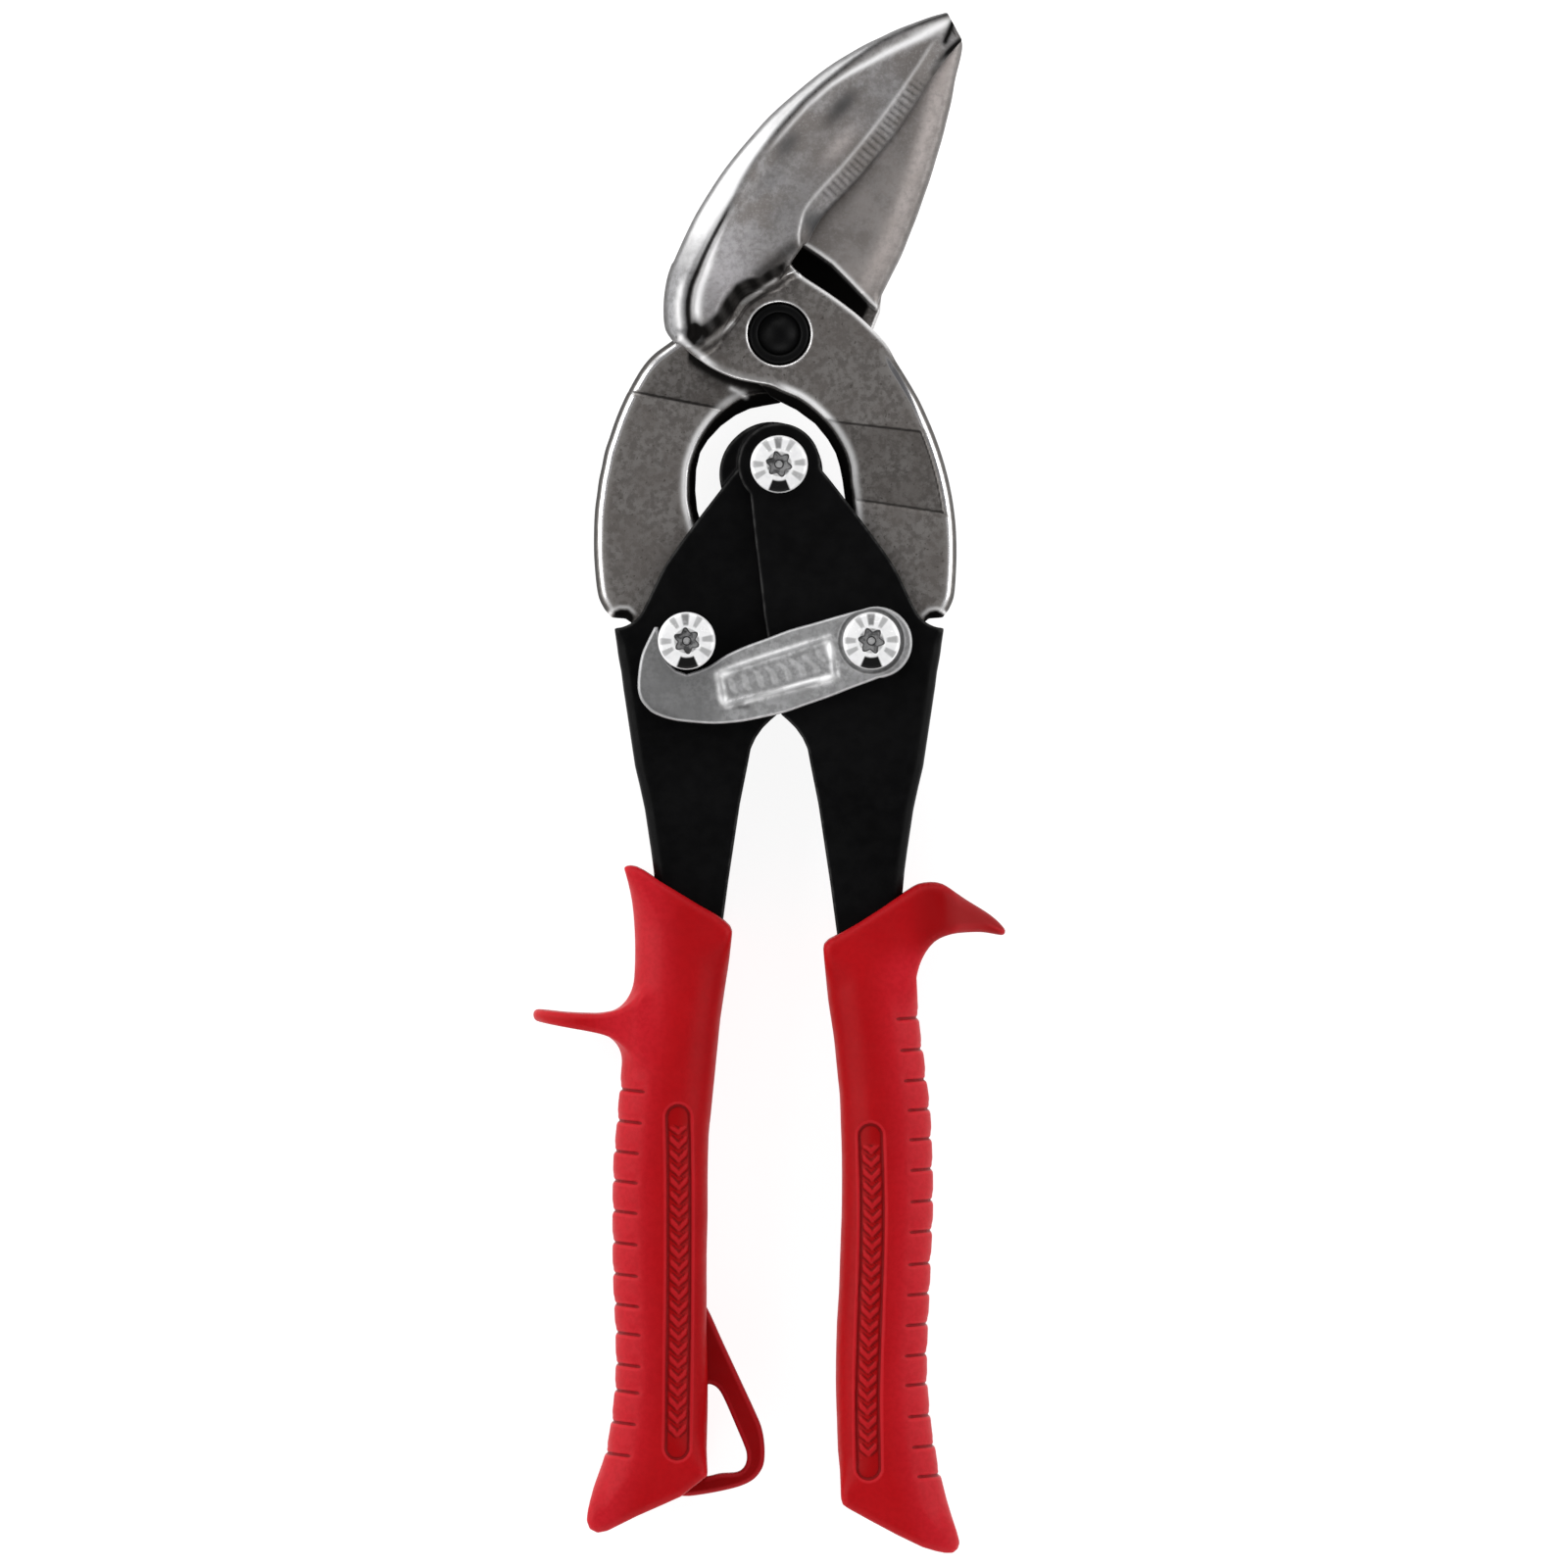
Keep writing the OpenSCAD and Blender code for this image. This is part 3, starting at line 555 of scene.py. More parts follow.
def front_blade():
    field = Field((-18.9, -56.2, -3.9), (29.6, 50.9, 13.6), BLADE_CELL)
    x, y, z = field.axes
    plan = front_plan(field)
    solid = soft_min(front_body(field, plan), front_jaw(field, plan), 0.9)
    # left of the boss the rim runs on down as one wall, with a ledge at its foot
    wall = np.maximum(plan.jaw, field.circle((-13.5, 2.0), 9.0))
    solid = soft_min(solid, field.plate(wall, 0.6, 8.0, 0.4, 0.8), 0.5)
    solid = soft_min(solid, np.maximum(tall(plan.ledge - 0.5), z - 5.6), 0.5)
    # bore, counterbore and its chamfer
    nut_radius = 4.80
    solid = field.bore(solid, BLADE_PIVOT, 3.47)
    sink = tall(field.circle(BLADE_PIVOT)) - nut_radius
    solid = np.maximum(solid, -np.maximum(sink, 2.0 - z))
    solid = np.maximum(solid, -(sink - (z - 4.82)) * 0.707)
    solid = field.bore(solid, FRONT_PIVOT, 2.56)
    # flat shear face, except low on the tang
    solid = np.maximum(solid, -(z - 0.05) - 1e3 * tall(y < -20))

    on_jaw = step(0.5, -0.2, plan.jaw)
    rim = np.where(plan.in_rim & (plan.jaw < 0.4), 1.0, 0.0)
    heel = field.outline(FRONT_HEEL_SPOT)
    # painted shade: a dark outline on the tang's right edge and the jaw's outer edge
    edge = (0.80 * step(0.78, 0.34, plan.right) * step(0.0, -6.0, y)
            + 0.62 * step(0.72, 0.28, plan.outer) * (plan.foot > 1.0))
    edge = np.maximum(edge, 0.8 * gauss(plan.outer, 0.34) * step(43.0, 45.0, y))
    # painted highlight beside the tang's polished edge
    polish = tang_polish_highlight(field, plan.right, middle=0.98, width=0.36,
                         levels=[.55, .75, .95, 1], haze_start=2.8) * step(-1.0, -6.0, y)
    return field.mesh(
        "front_blade_forging", solid, polish=polish, jaw=on_jaw, rim=blur(rim),
        dark=front_dark(field, plan, rim, heel), lite=front_painted_highlights(field, plan, rim, heel),
        edge=edge, tone=front_painted_reflections(field, plan) * on_jaw,
        warm=on_jaw * unit(0.15 + 0.8 * field.spot((9.5, 28.0), 6.0)))


# ------------------------------------------------------------------ rear blade
# tang: left side, heel, inner side and the edge under the boss
REAR_LEFT = curve(points("""
    -15.9,-0.6 -17.4,-1.65 -19.2,-3 -20.7,-4.65 -22.05,-6.75 -23.25,-9 -24.3,-11.25 -25.2,-13.5
    -25.95,-15.75 -26.7,-18 -27.15,-20.25 -27.6,-22.35 -27.9,-24.6 -28.2,-26.85 -28.35,-29.85
    -28.35,-33.6 -28.05,-37.65 -27.6,-40.35 -26.7,-42.15"""), 3)
REAR_HEEL = points("""
    -25.65,-43.35 -23.55,-43.5 -22.5,-44.25 -21.75,-46.35 -20.25,-49.65 -17.85,-52.65
    -14.1,-55.65 -9.75,-53.85 -7.05,-49.65 -7.05,-44.85 -8.25,-41.1""")
REAR_INNER = curve(points("""
    -9.75,-38.85 -10.95,-35.85 -12.45,-31.35 -13.65,-26.85 -13.95,-24.6 -13.8,-20.85
    -13.05,-18.15 -12,-15.75 -10.35,-13.35 -8.55,-11.55 -6.75,-10.2 -4.5,-9.15 -0.75,-8.85"""), 3)
REAR_HUB = points("5.25,-9.15 9,-7.65 11.85,-5.25 13.35,-2.25 14.25,0.45 15.45,3.45")
# jaw: right side going up, shear edge coming down, the edge beside the boss and the back
REAR_JAW_RIGHT = curve(points("""
    15.6,6.15 17.1,9.15 18.6,12.15 19.8,15.15 21,18.15 22.05,21.15 23.1,24.15 24,27.15
    24.9,30.15 25.65,33.15 26.4,36.15 27,39.15 27.75,42.15 28.05,43.95 27.9,45"""), 3)
REAR_SHEAR = curve(points("""
    27.15,44.85 25.65,43.65 23.4,41.1 20.85,37.95 17.85,32.55 15.6,29.55 13.2,26.85 10.8,23.4
    8.4,21.15 5.85,18.6 4.35,16.5 2.55,14.25"""), 3)
REAR_SLOT = points("2.55,14.25 3.9,13.5 6,12.15 8.1,10.65 10.95,7.8 13.8,4.8 14.85,3.9")
REAR_BACK = points("-3.75,11.85 -9,7.65 -13.35,3.45")
# shaded gap between the rear jaw and the front blade's boss
BOSS_GAP = points("""
    0.75,9.45 3.3,14.25 4.01,13.4 8.16,10.65 10.93,7.85 13.35,5.25 13.65,4.2 12.45,1.65
    10.2,3.45 7.35,5.4""")
REAR_HEEL_SPOT = points("""
    -25.5,-43.2 -25.2,-42.45 -24.3,-42.07 -23.1,-42.15 -22.35,-42.9 -22.05,-43.8 -23.25,-44.85""")


def rear_plan(field):
    x, y, _ = field.axes
    plan = SimpleNamespace(
        left=field.line(REAR_LEFT), inner=field.line(REAR_INNER),
        right=field.line(REAR_JAW_RIGHT), shear=field.line(REAR_SHEAR),
        slot=field.line(REAR_SLOT),
        ledge=(y + 10.35) + 0.19 * (x + 15.0))      # edge across the tang; full depth below
    body = np.concatenate([REAR_LEFT, REAR_HEEL, REAR_INNER, REAR_HUB, REAR_JAW_RIGHT,
                           REAR_SHEAR, REAR_BACK])
    plan.body = np.minimum(field.outline(body), field.circle(REAR_PIVOT, 8.2))
    ring_side = REAR_INNER[REAR_INNER[:, 1] > -38.0]
    plan.draft = field.outline(np.concatenate([ring_side, RING_LEFT]))
    plan.jaw = field.outline(np.concatenate([REAR_JAW_RIGHT, REAR_SHEAR, REAR_SLOT]))
    return plan


def rear_solid(field, plan):
    x, y, z = field.axes
    edge = 0.45 + 1.15 * tang_round(plan.left)
    body = field.plate(plan.body, -5.0, -0.05, edge, 0.8)
    deep = field.plate(plan.body, -4.95, 2.9, edge, 0.8)
    body = np.minimum(body, round_max(deep, tall(plan.ledge), 0.12))
    body = add_draft(field, body, plan, plan.draft, top=0.9, bottom=-4.6)
    # the jaw's face falls away from the shear edge, and its belly rises to the tip
    across = plan.shear / (plan.shear + plan.right + 1e-6)
    s = unit((y - 5) / 40.0)
    height = (4.95 - 1.9 * (1 - 0.55 * s) * step(0.30, 1.25, across)
              - 0.25 * gauss(across - 0.36, 0.16) * (1 - s))
    belly = -5.0 + 6.0 * unit((y - 18) / 28.0) ** 1.2
    edge = tall(np.where(plan.right < 3, 1.0, 0.3))
    jaw = round_max(tall(plan.jaw), field.under(blur(height)), edge)
    jaw = round_max(jaw, -field.under(belly), 1.4)
    body = round_max(body, tall(belly) - 0.02 - z, 0.3)
    solid = soft_min(body, jaw, 0.5)
    # outside the jaw nothing stands above the meeting plane
    above = np.minimum(tall(plan.jaw) - 0.3, z + 0.05)
    solid = np.maximum(solid, above - 1e3 * tall(y < 0))
    solid = field.bore(solid, BLADE_PIVOT, 3.26)
    return field.bore(solid, REAR_PIVOT, 2.56)


def rear_blade():
    field = Field((-28.9, -56.2, -5.8), (30.0, 47.2, 5.8), BLADE_CELL)
    x, y, _ = field.axes
    plan = rear_plan(field)
    on_jaw = step(0.5, -0.3, plan.jaw)
    under = field.line(UNDER)
    ring = ring_shade(field, plan)
    heel = field.outline(REAR_HEEL_SPOT)
    # painted highlight: a thin bright sliver
    sliver = field.strokes((1, 0.40, "-7.35,-8.25 -6.15,-8.85 -5.1,-9.6"))
    # painted shade: the gap and slot black, shade under the front blade's edge, the ledge line and the ring
    dark = largest(
        step(0.25, -0.05, field.outline(BOSS_GAP)) * (1 - on_jaw),
        # shade along the front blade's lower edge
        0.93 * step(2.4, 0.7, under) * (x > -14.0) * (x < 2.0) * (y < -2.0) * (y > -11.0),
        0.55 * step(4.2, 1.0, under) * (x > -12.5) * (x < 2.0) * (y < -4.0) * (y > -11.0),
        0.80 * gauss(plan.ledge, 0.26) * step(1.2, 2.2, plan.left) * step(-8.0, -13.0, x),
        0.12 * step(0.9, 0.5, np.abs(plan.ledge)) * (plan.left > 0.9),
        ring,
        step(0.15, -0.15, heel)) * (1 - sliver)
    # painted highlights along the inner edge, the slot's edge and round the heel spot
    lite = largest(
        0.88 * gauss(plan.inner - 0.58, 0.50) * step(0.1, -0.1, plan.body)
        * step(-40.0, -30.0, y) * step(-4.6, -5.6, x),
        0.95 * gauss(plan.slot - 0.28, 0.27) * on_jaw * (x > 3.4),
        0.7 * gauss(heel - 0.30, 0.24) * step(-43.2, -42.4, y))
    lite = np.maximum(lite * (1 - ring), 0.95 * sliver)
    # painted reflections: light along the jaw's right edge, dark beside the shear edge
    tone = (0.80 * gauss(plan.right - 2.4, 1.7) * step(2.0, 12.0, y)
            - 0.50 * gauss(plan.shear - 0.8, 1.8) * step(32.0, 20.0, y)
            - 0.12 * field.spot((8, 17), 4.0))
    tone += 0.12 * step(20.0, 8.0, y)
    # painted shade: a dark outline on the tang's left edge and the jaw's right edge
    edge = 0.97 * step(0.80, 0.36, plan.left) + 0.40 * step(0.9, 0.3, plan.right)
    polish = tang_polish_highlight(field, plan.left, middle=1.02, width=0.38,
                         levels=[.45, .52, 1, 1], haze_start=3.0)
    return field.mesh("rear_blade_forging", rear_solid(field, plan), polish=polish, jaw=on_jaw,
                      rim=0 * x, dark=unit(dark), lite=unit(lite), edge=edge,
                      tone=tone * on_jaw, warm=on_jaw)


# ------------------------------------------------------------------ handles
# the right handle: outer side going down, inner side going up, shoulder and left side
HANDLE_OUTER = points("""
    25.2,-45 24.9,-47.1 24.6,-49.35 24.15,-51.75 23.85,-54.15 23.4,-57.15 22.95,-60.15
    22.5,-63.15 22.05,-66.15 21.3,-69.3 20.55,-72.75 20.1,-75.75 19.65,-78.75 19.2,-82.05
    18.9,-85.35 18.75,-89.85 18.9,-95.85 19.35,-104.85 20.1,-116.85 20.85,-131.85 21,-146.85
    20.85,-158.85 21.3,-167.85""")
HANDLE_INNER = points("""
    11.85,-167.85 11.7,-155.85 11.85,-142.35 11.7,-128.85 10.95,-113.85 9.9,-100.35 9,-92.85
    8.4,-88.35 7.8,-83.85 6.9,-77.85 6.45,-74.85 6,-71.85 5.4,-68.85 4.8,-65.85 4.35,-63.45
    3.6,-61.8 2.55,-60.3 1.35,-59.1 0.3,-58.2""")
HANDLE_SHOULDER = curve(points("""
    6.15,-20.4 8.25,-22.95 12.75,-28.8 15.3,-32.25 17.55,-35.55 19.35,-39.15 20.4,-41.4
    21.45,-43.2 22.65,-44.25 24,-44.85 25.2,-45"""), 3)
HANDLE_LEFT = points("""
    -0.15,-56.1 -0.9,-52.35 -1.65,-47.1 -2.25,-43.65 -2.85,-38.25 -3.6,-32.25 -4.35,-25.35
    -4.95,-19.35 -5.1,-17.7""")


def handle(name, twin):
    """A channel open inwards; the twin is turned half round +Y and has a round nose."""
    field = Field((-7.6, -168.8, -5.8), (26.4, -12.6, 7.8), 0.3)
    x, y, z = field.axes
    bottom, top = -4.95, 6.95
    path = np.concatenate([HANDLE_SHOULDER, HANDLE_OUTER[1:], HANDLE_INNER, HANDLE_LEFT])
    outline = np.minimum(field.outline(path), field.circle(HANDLE_PIVOT, 6.3))
    web = field.line(HANDLE_OUTER)
    edge = 0.35 + 1.35 * step(3.5, 1.5, web) * step(-44.0, -48.0, y)
    solid = field.plate(outline, bottom, top, edge, 0.35)
    solid = np.maximum(solid, round_max(tall(outline), bottom - z, tall(edge)))
    if twin:
        # wide enough to cover the coil
        nose = field.circle((1.4, -21.45), 7.75)
        solid = np.minimum(solid, field.plate(nose, -4.1, 6.9, 0.4, 0.5))
    channel = np.minimum(2.0 - web, (-45.3 - y))
    solid = np.maximum(solid, -np.maximum(np.maximum(tall(channel), z - 5.05), -3.05 - z))
    solid = field.bore(solid, FRONT_PIVOT, 2.53)
    solid = field.bore(solid, HANDLE_PIVOT, 2.56)
    if twin:
        # half a turn: x and z both change sign
        solid = solid[::-1, :, ::-1]
        for axis in (0, 2):
            field.low[axis] = -(field.low[axis] + field.cell * (solid.shape[axis] - 1))
    return field.mesh(name, solid)


# ------------------------------------------------------------------ grips
# outer side going down, bottom, inner side going up, top; ribs are their y places,
# lean is their slant, panel is the middle line of the sunk panel, mouth is z low and high
LEFT_GRIP = SimpleNamespace(
    name="left_grip_moulding", side=-1, mouth=(-7.15, 5.15),
    low=(-39.3, -184.4, -11.2), high=(-5.9, -80.2, 9.4),
    outer=curve(points("""
        -23.7,-81.75 -23.1,-83.85 -22.5,-86.85 -22.2,-89.85 -22.05,-92.85 -22.05,-95.85
        -22.2,-98.85 -22.5,-101.85 -23.1,-105.6 -23.7,-109.35 -24.15,-112.35 -24.3,-114.6
        -24.6,-117.6 -24.9,-121.35 -25.35,-125.85 -25.5,-131.85 -25.5,-140.85 -25.35,-146.85
        -25.05,-152.85 -25.05,-158.85 -25.35,-163.35 -25.95,-167.85 -26.7,-171.6 -27.6,-174.3
        -28.5,-176.85 -29.25,-179.85 -29.4,-181.5"""), 2),
    bottom=points("""
        -29.4,-181.5 -28.95,-182.7 -27.75,-183.3 -26.25,-183 -21.75,-180.75 -18,-179.1
        -15,-177.75 -10.95,-174.6"""),
    inner=curve(points("""
        -10.95,-174.6 -11.1,-170.85 -10.95,-164.85 -10.95,-158.85 -11.1,-152.85 -11.1,-146.85
        -11.1,-140.85 -10.95,-134.85 -10.95,-128.85 -10.8,-122.85 -10.5,-119.85 -10.2,-116.85
        -9.9,-113.85 -9.6,-110.85 -9.3,-107.85 -9,-104.85 -8.55,-101.85 -8.1,-98.85
        -7.65,-95.85 -7.2,-91.8"""), 2),
    top=points("""
        -7.2,-91.35 -7.5,-90.6 -8.25,-89.85 -9.6,-88.8 -12.3,-87.3 -15,-85.65 -18,-83.85
        -20.7,-82.05 -21.9,-81.45 -22.8,-81.3 -23.55,-81.45"""),
    ribs=[-115.5, -120.3, -124.95, -129.45, -134.1, -138.9, -143.7, -148.35, -152.7, -157.5,
          -161.55, -166.35, -171.15],
    lean=0.10, rib_reach=(4.4, 3.2),
    panel=curve(points("-15.45,-119.7 -15.3,-128.85 -15.3,-143.85 -15.45,-158.85 -15.6,-170.25"),
                3))
RIGHT_GRIP = SimpleNamespace(
    name="right_grip_moulding", side=1, mouth=(-5.15, 7.15),
    low=(5.7, -187.4, -9.4), high=(35.9, -82.6, 11.4),
    outer=curve(points("""
        21,-98.4 21.15,-101.1 21.3,-103.8 21.75,-107.85 22.2,-110.85 22.5,-113.85 22.95,-116.85
        23.25,-120.6 23.4,-124.35 23.55,-128.85 23.55,-134.85 23.25,-140.85 23.1,-145.35
        22.95,-148.35 22.8,-151.35 22.65,-155.85 22.65,-158.85 22.8,-161.85 23.1,-164.85
        23.4,-167.85 23.85,-170.1 24.3,-173.1 24.9,-175.35 25.65,-178.35 26.55,-181.35
        27.3,-183.6 27.6,-184.8"""), 2),
    bottom=points("""
        27.6,-184.8 27.3,-185.7 26.55,-186.3 25.35,-186.3 23.85,-186 21.9,-185.4 18.15,-183.6
        13.65,-181.2 10.65,-179.55 9.75,-178.95 9.45,-178.05"""),
    inner=curve(points("""
        9.45,-178.05 9.3,-173.85 9,-170.85 8.85,-166.35 8.7,-161.85 8.7,-157.35 8.85,-151.35
        9.15,-146.85 9.3,-142.35 9.45,-137.85 9.6,-133.35 9.6,-125.85 9.45,-121.35 9.3,-116.85
        9,-113.85 8.7,-110.85 8.4,-107.85 7.95,-104.85 7.5,-101.85 7.2,-98.85 6.9,-95.85
        6.75,-94.05"""), 2),
    top=points("""
        6.75,-94.05 6.9,-93.3 7.65,-92.55 8.55,-92.1 12,-90.15 15.3,-88.05 18.6,-85.8
        19.95,-84.9"""),
    ribs=[-104.55, -109.35, -114, -118.5, -123, -127.65, -132.45, -137.1, -142.05, -146.7,
          -151.35, -156, -160.5, -165.3, -169.95, -174.45],
    lean=0.06, rib_reach=(4.0, 2.8),
    panel=curve(points("""
        13.95,-122.55 14.25,-133.35 14.1,-142.35 13.8,-151.35 13.5,-161.85 13.65,-173.25"""), 3))
# beaked guard at the top of the right grip
GUARD = curve(points("""
    19.95,-84.9 21.3,-84.15 23.25,-83.85 25.05,-84.15 26.7,-85.2 28.65,-86.55 31.35,-88.2
    33,-89.4 34.2,-90.6 34.65,-91.35 34.35,-91.95 33.6,-91.95 31.95,-91.65 30.3,-91.5
    27.3,-91.65 25.35,-92.1 23.7,-93 22.35,-94.65 21.45,-96.6 21,-98.4"""), 2)
# flange that stands out from the left grip
FLANGE = curve(points("""
    -21,-101.55 -23.25,-102.75 -25.05,-103.5 -27.45,-103.95 -29.7,-103.95 -32.7,-103.8
    -35.25,-103.5 -37.05,-103.35 -37.8,-103.65 -37.95,-104.25 -37.5,-105 -35.85,-105.45
    -32.7,-106.05 -29.25,-106.65 -26.7,-107.25 -24.75,-108.15 -21,-110.1"""), 3)


def add_flange(field, solid, from_middle):
    tip, radius = -37.9, 8.6
    centre = tip + radius
    x = tall(field.axes[0])
    rounded = np.where(x < centre, np.hypot(x - centre, from_middle) - radius,
                       np.abs(from_middle) - radius)
    return soft_min(solid, round_max(tall(field.outline(FLANGE)), rounded, 0.9), 3.4)


def grip(shape):
    field = Field(shape.low, shape.high, 0.25)
    x, y, z = field.axes
    left = shape.side < 0
    from_middle = z - shape.side * 1.0
    ends = [shape.top] if left else [shape.top[1:], GUARD[1:-1]]
    outline = field.outline(np.concatenate([shape.outer, shape.bottom[1:-1], shape.inner, *ends]))
    outer, inner = field.line(shape.outer), field.line(shape.inner)
    mouth_line = field.line(shape.top)
    end = np.minimum(field.line(shape.bottom), mouth_line)
    # edges are tighter at the ends and round the guard
    end_round, side_round, guard_round = 1.3, 5.2, 1.6
    edge = end_round + (side_round - end_round) * step(0.5, 7.0, end)
    if not left:
        edge = guard_round + (edge - guard_round) * step(0.5, 6.0, field.line(GUARD))
    # the face is a little crowned across
    crown = 9.35 - 0.45 * step(7.0, 0.0, np.minimum(outer, inner))
    solid = round_max(tall(outline), (np.abs(from_middle) - tall(crown)), tall(edge))
    if left:
        solid = add_flange(field, solid, from_middle)
    else:
        # the guard thins towards its beak
        half = 10.6 - 8.6 * step(24.0, 35.0, x) ** 0.8
        solid = soft_max(solid, np.abs(from_middle) - tall(half), 1.6)
    # grooves round the outer side, between the ribs
    grooves = np.zeros(x.shape)
    for rib in shape.ribs:
        off = y - rib + shape.lean * outer
        grooves += gauss(off, 0.30) + 0.35 * gauss(off - 0.75, 0.55)
    first, last = max(shape.ribs) + 1.2, min(shape.ribs) - 1.2
    ribbed = (step(*shape.rib_reach, outer) * step(first + 0.6, first, y)
              * step(last - 0.6, last, y))
    solid = solid + 0.44 * tall(grooves * ribbed)
    # sunk panel with a raised herringbone in it, on both faces
    off, along = field.nearest(shape.panel)
    panel = step(2.12, 1.72, off)
    length = along.max()
    bars = (step(-0.1, 0.5, np.sin((along + 0.9 * np.abs(off) + 0.3) * 2 * math.pi / 2.1))
            * step(1.45, 1.1, off) * step(1.0, 2.0, along)
            * step(length - 1.0, length - 2.0, along))
    solid = solid + tall(0.50 * panel - 0.24 * bars * panel) * step(5.5, 8.0, np.abs(from_middle))
    # thin lip round the mouth, where the handle goes in
    inside = np.concatenate([HANDLE_OUTER, HANDLE_INNER]) * np.array([shape.side, 1])
    mouth_low, mouth_high = shape.mouth
    mouth = np.maximum(tall(field.outline(inside)) - 0.2,
                       np.maximum(mouth_low - z, z - mouth_high))
    mouth = np.maximum(mouth, tall(mouth_line - 2.6))
    solid = np.maximum(solid, -mouth)
    # masks for painted light: highlights on the outer and inner sides, painted shade under the guard
    below_guard = 1 if left else step(-88.0, -97.0, y)
    guard_shade = 0 * x if left else 0.72 * step(18.5, 23.5, x) * step(-97.0, -91.0, y)
    return field.mesh(shape.name, solid, rib=ribbed, panel=panel, inner=unit(1 - inner / 1.6),
                      outer=unit(1.15 - outer / 7.0) * below_guard, dark=guard_shade)


def hang_loop():
    """Flat loop at the inner foot of the left grip."""
    field = Field((-15.6, -179.0, -4.3), (-1.3, -145.6, 2.3), 0.2)
    outer = curve(points("""
        -12.45,-147.15 -10.95,-149.25 -8.55,-154.5 -5.55,-160.95 -3.75,-164.85 -2.7,-167.4
        -2.25,-169.95 -2.25,-172.35 -2.7,-173.85 -3.75,-175.2 -5.25,-176.1 -7.05,-176.7
        -9.75,-177.3 -12.45,-177.75 -14.25,-177.9 -15.15,-177.45 -14.25,-173.85
        -13.35,-161.85"""), 4)
    inner = curve(points("""
        -11.85,-161.4 -10.95,-160.8 -10.05,-160.95 -9.15,-161.7 -8.25,-163.35 -6.75,-166.8
        -5.25,-170.4 -4.95,-171.75 -5.1,-172.95 -5.7,-173.85 -6.75,-174.3 -9,-174.45
        -10.95,-174.9 -12.15,-174.6 -12.45,-169.35"""), 4)
    outline = np.maximum(field.outline(outer), -field.outline(inner))
    solid = field.plate(outline, -1.0 - 2.1, -1.0 + 2.1, 0.75, 0.75)
    blank = 0 * field.axes[0]
    return field.mesh("hang_loop", solid, rib=blank, panel=blank, inner=blank, outer=blank,
                      dark=1 + blank)


# ------------------------------------------------------------------ latch
# upper edge leftwards, inside of the hook, then round the hook and back to the right
LATCH_TAIL = curve(points("""
    15.15,-41.7 13.65,-41.92 11.55,-42.45 8.55,-43.27 5.25,-44.25 1.5,-45.3 -1.65,-46.5
    -4.95,-47.7 -7.95,-49.05 -10.5,-50.7 -11.85,-51.3"""), 3)
LATCH_NOTCH = points("""
    -12.15,-51.45 -14.1,-52.05 -15.75,-51.45 -16.95,-50.25 -17.7,-48.45 -18,-46.35
    -18.15,-44.85""")
LATCH_HOOK = curve(points("""
    -19.05,-44.85 -20.1,-46.95 -21,-49.05 -21.45,-51.45 -21.6,-54.15 -21.15,-55.95
    -20.25,-57.15 -19.2,-58.05 -17.4,-58.8 -15.45,-59.25 -12.6,-59.55 -9.9,-59.7 -7.5,-59.55
    -5.1,-59.25 -2.25,-58.65 1.05,-57.9 4.5,-56.7 7.95,-55.5 10.95,-54.3 13.8,-53.25
    15.75,-52.5 17.55,-51.75"""), 3)
LATCH_FRAME = points("-8.85,-52.2 -8.1,-56.4 8.25,-52.35 7.65,-46.95")    # raised frame


